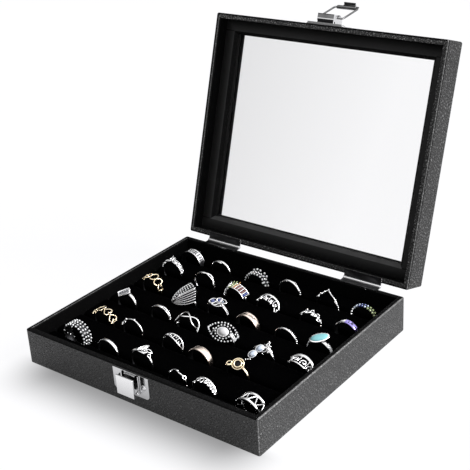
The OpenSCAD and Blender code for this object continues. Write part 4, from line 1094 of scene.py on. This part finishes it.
# wires that rise to a peak, with balls along them
def tiara():
    peak = (-0.4, 2.0, -3.2)
    parts = moved([leaf(3.6, 1.6, high=0.7)], (-8.4, 0, 1.2))
    parts += [wire([(-8, 0.1, 1), (-6.2, 0.5, -0.6), (-4.6, 0.6, 0.4), (-2.8, 1.0, -1.4), peak], 0.42),
              wire([peak, (1.2, 1.4, -1.6), (3.6, 0.8, -0.6), (7, 0.4, 0), (10, 0.1, 0)], 0.42),
              beads(7.5, 15, 6, 0.52, 0),
              dots([(-5.4, 0.8, -0.2), (-2.4, 1.2, -1.4), (-3.6, 0.7, 0.9), (1.4, 1.4, -1.6), (-0.4, 2.2, -3.2)],
                   0.66)]
    return hoop(1.5, 1.3, 0.9, gap=(-7.5, 8)) + wrap(parts)


# two rows of balls that change colour along a band painted shade
def colouredBeads():
    parts = []
    colours = ["silver"] * 3 + ["paleBlue"] * 2 + ["blue"] * 2 + ["paleBlue"] + ["green"] * 4 + ["pearl"] * 2
    for s, colour in zip(np.linspace(-15, 15, 14), colours):
        parts.append(dots([(s, 0.1, 1.2), (s + 1.15, 0.1, -1.2)], 0.9, colour, sizes=[1, 0.9]))
    return hoop(2.4, 2.0, 0.6, "inside", 6) + wrap(parts)


# name, CAD node, row, place in the row, slot, shape
rings = [
    ("pebbleRing", "ring_pebble_band", 0, 0, "silver", pebbleBand),
    ("plainRing", "ring_plain_bands", 0, 1, "silver", plainBand),
    ("roseRing", "ring_rose_flower", 0, 2, "silver", roseFlower),
    ("twistRing", "ring_twist", 0, 3, "silver", twistBand),
    ("leafRing", "ring_leaf_crown", 0, 4, "silver", leafCrown),
    ("trellisRing", "ring_trellis_band", 0, 5, "silver", trellisBand),
    ("heartRing", "ring_gold_hearts", 1, 0, "gold", heartBand),
    ("knobRing", "ring_bead_band", 1, 1, "silver", knobBand),
    ("channelRing", "ring_channel_point", 1, 2, "silver", channelPoint),
    ("roseGoldRing1", "ring_rose_gold_bands", 1, 3, "rose_gold", roseGoldBand),
    ("dropRing", "ring_gold_drop", 1, 4, "gold", goldDrop),
    ("plateRing", "ring_pave_plate", 2, 0, "silver", pavePlate),
    ("taperedRing", "ring_plain_bands", 2, 1, "silver", taperedBand),
    ("crossingRing", "ring_crossing_bands", 2, 2, "silver", crossingBand),
    ("haloRing", "ring_oval_halo", 2, 3, "silver", ovalHalo),
    ("twinRing", "ring_twin_stones", 2, 4, "silver", twinStones),
    ("scrollRing", "ring_scroll_crown", 2, 5, "silver", scrollCrown),
    ("chainRing", "ring_gold_chain", 3, 0, "gold", goldChain),
    ("domeRing", "ring_dome", 3, 1, "silver", domeRing),
    ("blueCrownRing", "ring_blue_crown", 3, 2, "silver", blueCrown),
    ("roseGoldRing2", "ring_rose_gold_bands", 3, 3, "rose_gold", roseGoldBand),
    ("eternityRing1", "ring_half_eternity_pair", 3, 4, "silver", halfEternity),
    ("turquoiseRing", "ring_turquoise_oval", 3, 5, "turquoise", turquoiseOval),
    ("bowRing", "ring_bow", 4, 0, "silver", bowRing),
    ("waveRing", "ring_wave", 4, 1, "silver", waveBand),
    ("rainbowRing", "ring_rainbow_stones", 4, 2, "silver", rainbowStones),
    ("railRing", "ring_pearl_rail", 4, 3, "silver", pearlRail),
    ("sprayRing", "ring_leaf_spray", 4, 4, "silver", leafSpray),
    ("violetRing", "ring_purple_band", 4, 5, "purple_steel", purpleBand),
    ("paveRing", "ring_pave_band", 5, 0, "silver", paveBand),
    ("openRing", "ring_open_band", 5, 1, "silver", openBand),
    ("clusterRing", "ring_bead_cluster", 5, 2, "silver", beadCluster),
    ("eternityRing2", "ring_half_eternity_pair", 5, 3, "silver", halfEternity),
    ("tiaraRing", "ring_tiara", 5, 4, "silver", tiara),
    ("colourRing", "ring_coloured_beads", 5, 5, "silver", colouredBeads)]

smallRing = 0.87
for name, node, row, place, slot, shape in rings:
    standing = []
    for points, quads, colour, smooth in shape():
        x, y, z = points.T * (smallRing if name == "twistRing" else 1)
        standing.append((turned(np.stack([x, -z, y], -1) + ringPlace(row, place)), quads, colour, smooth))
    makePiece(name, standing, "insert", [node])
print("rings made")

# latch and hinges: copies of their nodes with rounded edges, in mm with the lid closed
latch = dict(x=-1.5, wall=-88, flapHalf=6.55, flapTop=24.5, flapLow=19, besideFlap=2.5, housingHalf=7.0,
             housingLow=30.9, housingWall=4.3, housingStep=5.0, housingFront=7.7)
# painted shade on the catch's slanted left end: where it starts, its lean to the right as it rises, and its height
slant = dict(left=-12.3, lean=0.963, low=18.9, high=24.3)
steep = 0.7  # the share of a normal along an axis from which a face counts as facing that way


# whether a point is within a half-width of the latch's middle
def besideLatch(p, half):
    return abs(p[0] - latch["x"]) < half


# planes across x, y and z where the paint changes
def cutX(x):
    return (x, 0, 0), (1, 0, 0)


def cutY(y):
    return (0, y, 0), (0, 1, 0)


def cutZ(z):
    return (0, 0, z), (0, 0, 1)


# tests for the layers, of a face's middle p and its normal n
def knuckle(p, n):
    return math.hypot(p[1] - lid["pinY"], p[2] - lid["pinZ"]) < 1.5


def leafBack(p, n):
    return n[1] < -steep


# painted shade on the flap's inner faces
def flapInnerShade(p, n):
    cheek = besideLatch(p, latch["flapHalf"] + 0.1) and abs(n[0]) > steep and p[2] > latch["flapLow"]
    return n[1] > steep or cheek


# painted shade in the opening behind the flap and beside it
def shadeBehindFlap(p, n):
    inFlap = besideLatch(p, latch["flapHalf"]) and p[2] < latch["flapTop"] - 0.2
    return inFlap and (p[2] > latch["flapLow"] or p[0] < latch["x"] + latch["besideFlap"])


# painted shade on the catch's slanted left end
def slantedEndShade(p, n):
    left = slant["left"] + (p[2] - slant["low"]) * slant["lean"]
    return n[1] < -steep and slant["low"] < p[2] < slant["high"] and left < p[0] - latch["x"] < 0


# painted highlight along the spring's top edge
def springTopHighlight(p, n):
    return n[2] > steep or p[2] > latch["flapTop"] - 0.9


# painted shade inside the housing's walls
def housingWallShade(p, n):
    return besideLatch(p, latch["housingHalf"] - 0.3) and p[2] > latch["housingLow"] + 0.1


# painted shade on the housing's underside, in bands by how far they stand out from the wall
def housingShadeBand(low, high):
    return lambda p, n: n[2] < -steep and low < latch["wall"] - p[1] < high


catchSides = [cutX(latch["x"] + k * latch["flapHalf"]) for k in (-1, 1)]
catchCuts = catchSides + [cutZ(slant["high"]), cutZ(latch["flapLow"]), cutX(latch["x"] + latch["besideFlap"]),
                          ((latch["x"] + slant["left"], 0, slant["low"]), (1, 0, -slant["lean"]))]
haspLayers = [("inside", housingWallShade), ("dullNickel", housingShadeBand(latch["housingStep"], math.inf)),
              ("inside", housingShadeBand(2.6, latch["housingWall"])),
              ("inside", housingShadeBand(latch["housingFront"], math.inf))]
haspCuts = [cutY(latch["wall"] - latch[k]) for k in ("housingWall", "housingStep", "housingFront")]
haspCuts += [cutX(latch["x"] + k * latch["housingHalf"]) for k in (-1, 1)]
# name, CAD node, edge width, body, slot, paint, layers, cuts
hardware = [("catchPlate", "catch_plate", 0.12, "case", "nickel", "nickel",
             [("inside", shadeBehindFlap), ("inside", slantedEndShade)], catchCuts),
            ("catchRivets", "catch_rivets", 0.05, "case", "nickel", "nickel"),
            ("catchFlap", "catch_flap", 0.2, "flap", "nickel", "silver", [("inside", flapInnerShade)],
             [cutZ(latch["flapLow"])]),
            # the spring's face is painted shade and its top edge a painted highlight
            ("flapSpring", "flap_spring", 0.06, "case", "spring_steel", "inside", [("silver", springTopHighlight)]),
            ("haspPlate", "hasp_plate", 0.14, "lid", "nickel", "nickel", haspLayers, haspCuts),
            ("haspRivets", "hasp_rivets", 0.05, "lid", "nickel", "nickel"),
            ("haspHook", "hasp_hook", 0.12, "hook", "nickel", "dullNickel"),
            ("caseHingeLeaves", "case_hinge_leaves", 0.08, "case", "nickel", "hinge",
             [("nickel", knuckle), ("nickel", leafBack)]),
            ("lidHingeLeaves", "lid_hinge_leaves", 0.08, "lid", "nickel", "hinge", [("nickel", knuckle)])]
for values in hardware:
    softenNode(*values)

nodePaint = dict(case_wall_boards="board", case_floor_board="board", lid_wall_boards="board", lid_top_board="card",
                 case_lining="lining", lid_lining="lining", base_sheet="paper", insert_tray="card",
                 lid_glass="glass", hinge_pins="nickel", case_hinge_screws="hinge", lid_hinge_screws="hinge",
                 flap_pins="nickel", hasp_bail="dullNickel")
for node, colour in nodePaint.items():
    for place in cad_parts[node].material_slots:
        place.material = paint[colour]
# the hasp plate's turned lower edge, and the web, painted shade, that closes the housing's underside
lip = moved([block((29.6, 1.1, 0.6), "silver", 0.12)], (latch["x"], latch["wall"] - 1.1, latch["housingLow"] - 0.3))
web = moved([block((13.4, 3.2, 0.4), "inside", 0.1)], (latch["x"], latch["wall"] - 2.3, latch["housingLow"] + 0.3))
makePiece("haspLip", [onLid(part) for part in lip + web], "lid", ["hasp_plate"])
print("hardware made")

# the floor's own glow and its colour where it is seen, its colour for the light that it throws back, and the soft
# shadow before the front wall, with its depth and its reach in metres
floorValues = dict(glow=0.97, seenColour=0.06, colour=0.6, shadowDark=0.66, shadowNear=0.005, shadowFar=0.046)


# a floor quad whose glow is dimmed by the shadow: its depth times its fades ahead of the wall and at its ends
def makeFloor(v):
    t = np.linspace(-1.5, 1.5, 3)
    points = np.stack(np.meshgrid(t, t, [-0.00005], indexing="ij"), -1).reshape(-1, 3)
    quads = [(0, 3, 4, 1), (1, 4, 5, 2), (3, 6, 7, 4), (4, 7, 8, 5)]
    mesh = bpy.data.meshes.new("floor")
    mesh.from_pydata(points.tolist(), [], quads)
    floor = bpy.data.objects.new("floor", mesh)
    bpy.context.scene.collection.objects.link(floor)
    material, tree, shader = blankMaterial("floor", Roughness=0.9, Specular_IOR_Level=0.0)
    path = addNode(tree, "ShaderNodeLightPath")
    seen = math2(tree, "MAXIMUM", path.outputs["Is Camera Ray"], path.outputs["Is Glossy Ray"])
    seen = math2(tree, "MAXIMUM", seen, path.outputs["Is Transmission Ray"])
    white = addNode(tree, "ShaderNodeMapRange", {"Value": seen}, To_Min=v["colour"], To_Max=v["seenColour"])
    tree.links.new(white.outputs[0], shader.inputs["Base Color"])
    # the shadow fades with the distance before the front wall and beyond its two ends
    place = addNode(tree, "ShaderNodeSeparateXYZ", {0: addNode(tree, "ShaderNodeTexCoord").outputs["Object"]})
    ahead = math2(tree, "SUBTRACT", -halfY * mm, place.outputs["Y"])
    fade = addNode(tree, "ShaderNodeMapRange", {"Value": ahead}, interpolation_type="SMOOTHSTEP",
                   From_Min=v["shadowFar"], From_Max=-v["shadowNear"])
    ends = addNode(tree, "ShaderNodeMapRange", {"Value": math2(tree, "ABSOLUTE", place.outputs["X"], 0)},
                   interpolation_type="SMOOTHSTEP", From_Min=box["width"] * 0.59 * mm,
                   From_Max=box["width"] * 0.36 * mm)
    before = addNode(tree, "ShaderNodeMapRange", {"Value": ahead}, From_Min=-0.01, From_Max=-0.002)
    dark = math2(tree, "MULTIPLY", math2(tree, "MULTIPLY", fade.outputs[0], ends.outputs[0]), v["shadowDark"])
    dark = math2(tree, "MULTIPLY", dark, before.outputs[0])
    level = math2(tree, "MULTIPLY", seen, math2(tree, "SUBTRACT", v["glow"], dark))
    shader.inputs["Emission Color"].default_value = (0.985, 0.985, 1, 1)
    tree.links.new(level, shader.inputs["Emission Strength"])
    mesh.materials.append(material)


# white where it is seen, a soft glow all round, and for metal a studio that is bright above and on the right and
# dim low on the left
worldValues = dict(ambient=0.2, bright=(0.55, -0.1, 0.83), dimLevel=0.12, brightLevel=1.4)


def makeWorld(v):
    world = bpy.data.worlds.new("studio")
    bpy.context.scene.world = world
    world.use_nodes = True
    tree = world.node_tree
    path = addNode(tree, "ShaderNodeLightPath")
    seen = math2(tree, "MAXIMUM", path.outputs["Is Camera Ray"], path.outputs["Is Transmission Ray"])
    way = addNode(tree, "ShaderNodeVectorMath", {0: addNode(tree, "ShaderNodeTexCoord").outputs["Generated"]},
                  operation="DOT_PRODUCT")
    way.inputs[1].default_value = v["bright"]
    soft = addNode(tree, "ShaderNodeMapRange", {"Value": way.outputs["Value"]}, interpolation_type="SMOOTHSTEP",
                   From_Min=-0.1, From_Max=0.75, To_Min=v["dimLevel"], To_Max=v["brightLevel"])
    glossy = math2(tree, "MULTIPLY", path.outputs["Is Glossy Ray"], soft.outputs[0])
    plain = math2(tree, "SUBTRACT", 1, math2(tree, "MAXIMUM", seen, path.outputs["Is Glossy Ray"]))
    level = math2(tree, "ADD", math2(tree, "ADD", seen, glossy), math2(tree, "MULTIPLY", plain, v["ambient"]))
    background = tree.nodes["Background"]
    background.inputs["Color"].default_value = (1, 1, 1, 1)
    tree.links.new(level, background.inputs["Strength"])


# a sun for the even key and a near lamp for the right side: name, kind, direction or place in metres, angle in
# degrees or size in metres, power
lamps = [("keySun", "SUN", (0.72, 0.3, 0.6), 28, 3.2), ("sideLamp", "AREA", (0.9, -0.1, 0.25), 0.5, 2.0)]


def makeLamps():
    for name, kind, place, size, power in lamps:
        data = bpy.data.lights.new(name, kind)
        data.energy, data.specular_factor = power, 0.6
        if kind == "SUN":
            data.angle = math.radians(size)
        else:
            data.size = size
        thing = bpy.data.objects.new(name, data)
        thing.location = place
        thing.rotation_euler = Vector(place).to_track_quat("Z", "Y").to_euler()
        bpy.context.scene.collection.objects.link(thing)


makeFloor(floorValues)
makeWorld(worldValues)
makeLamps()
bpy.context.scene.view_settings.view_transform = "Standard"

print("scene ready")
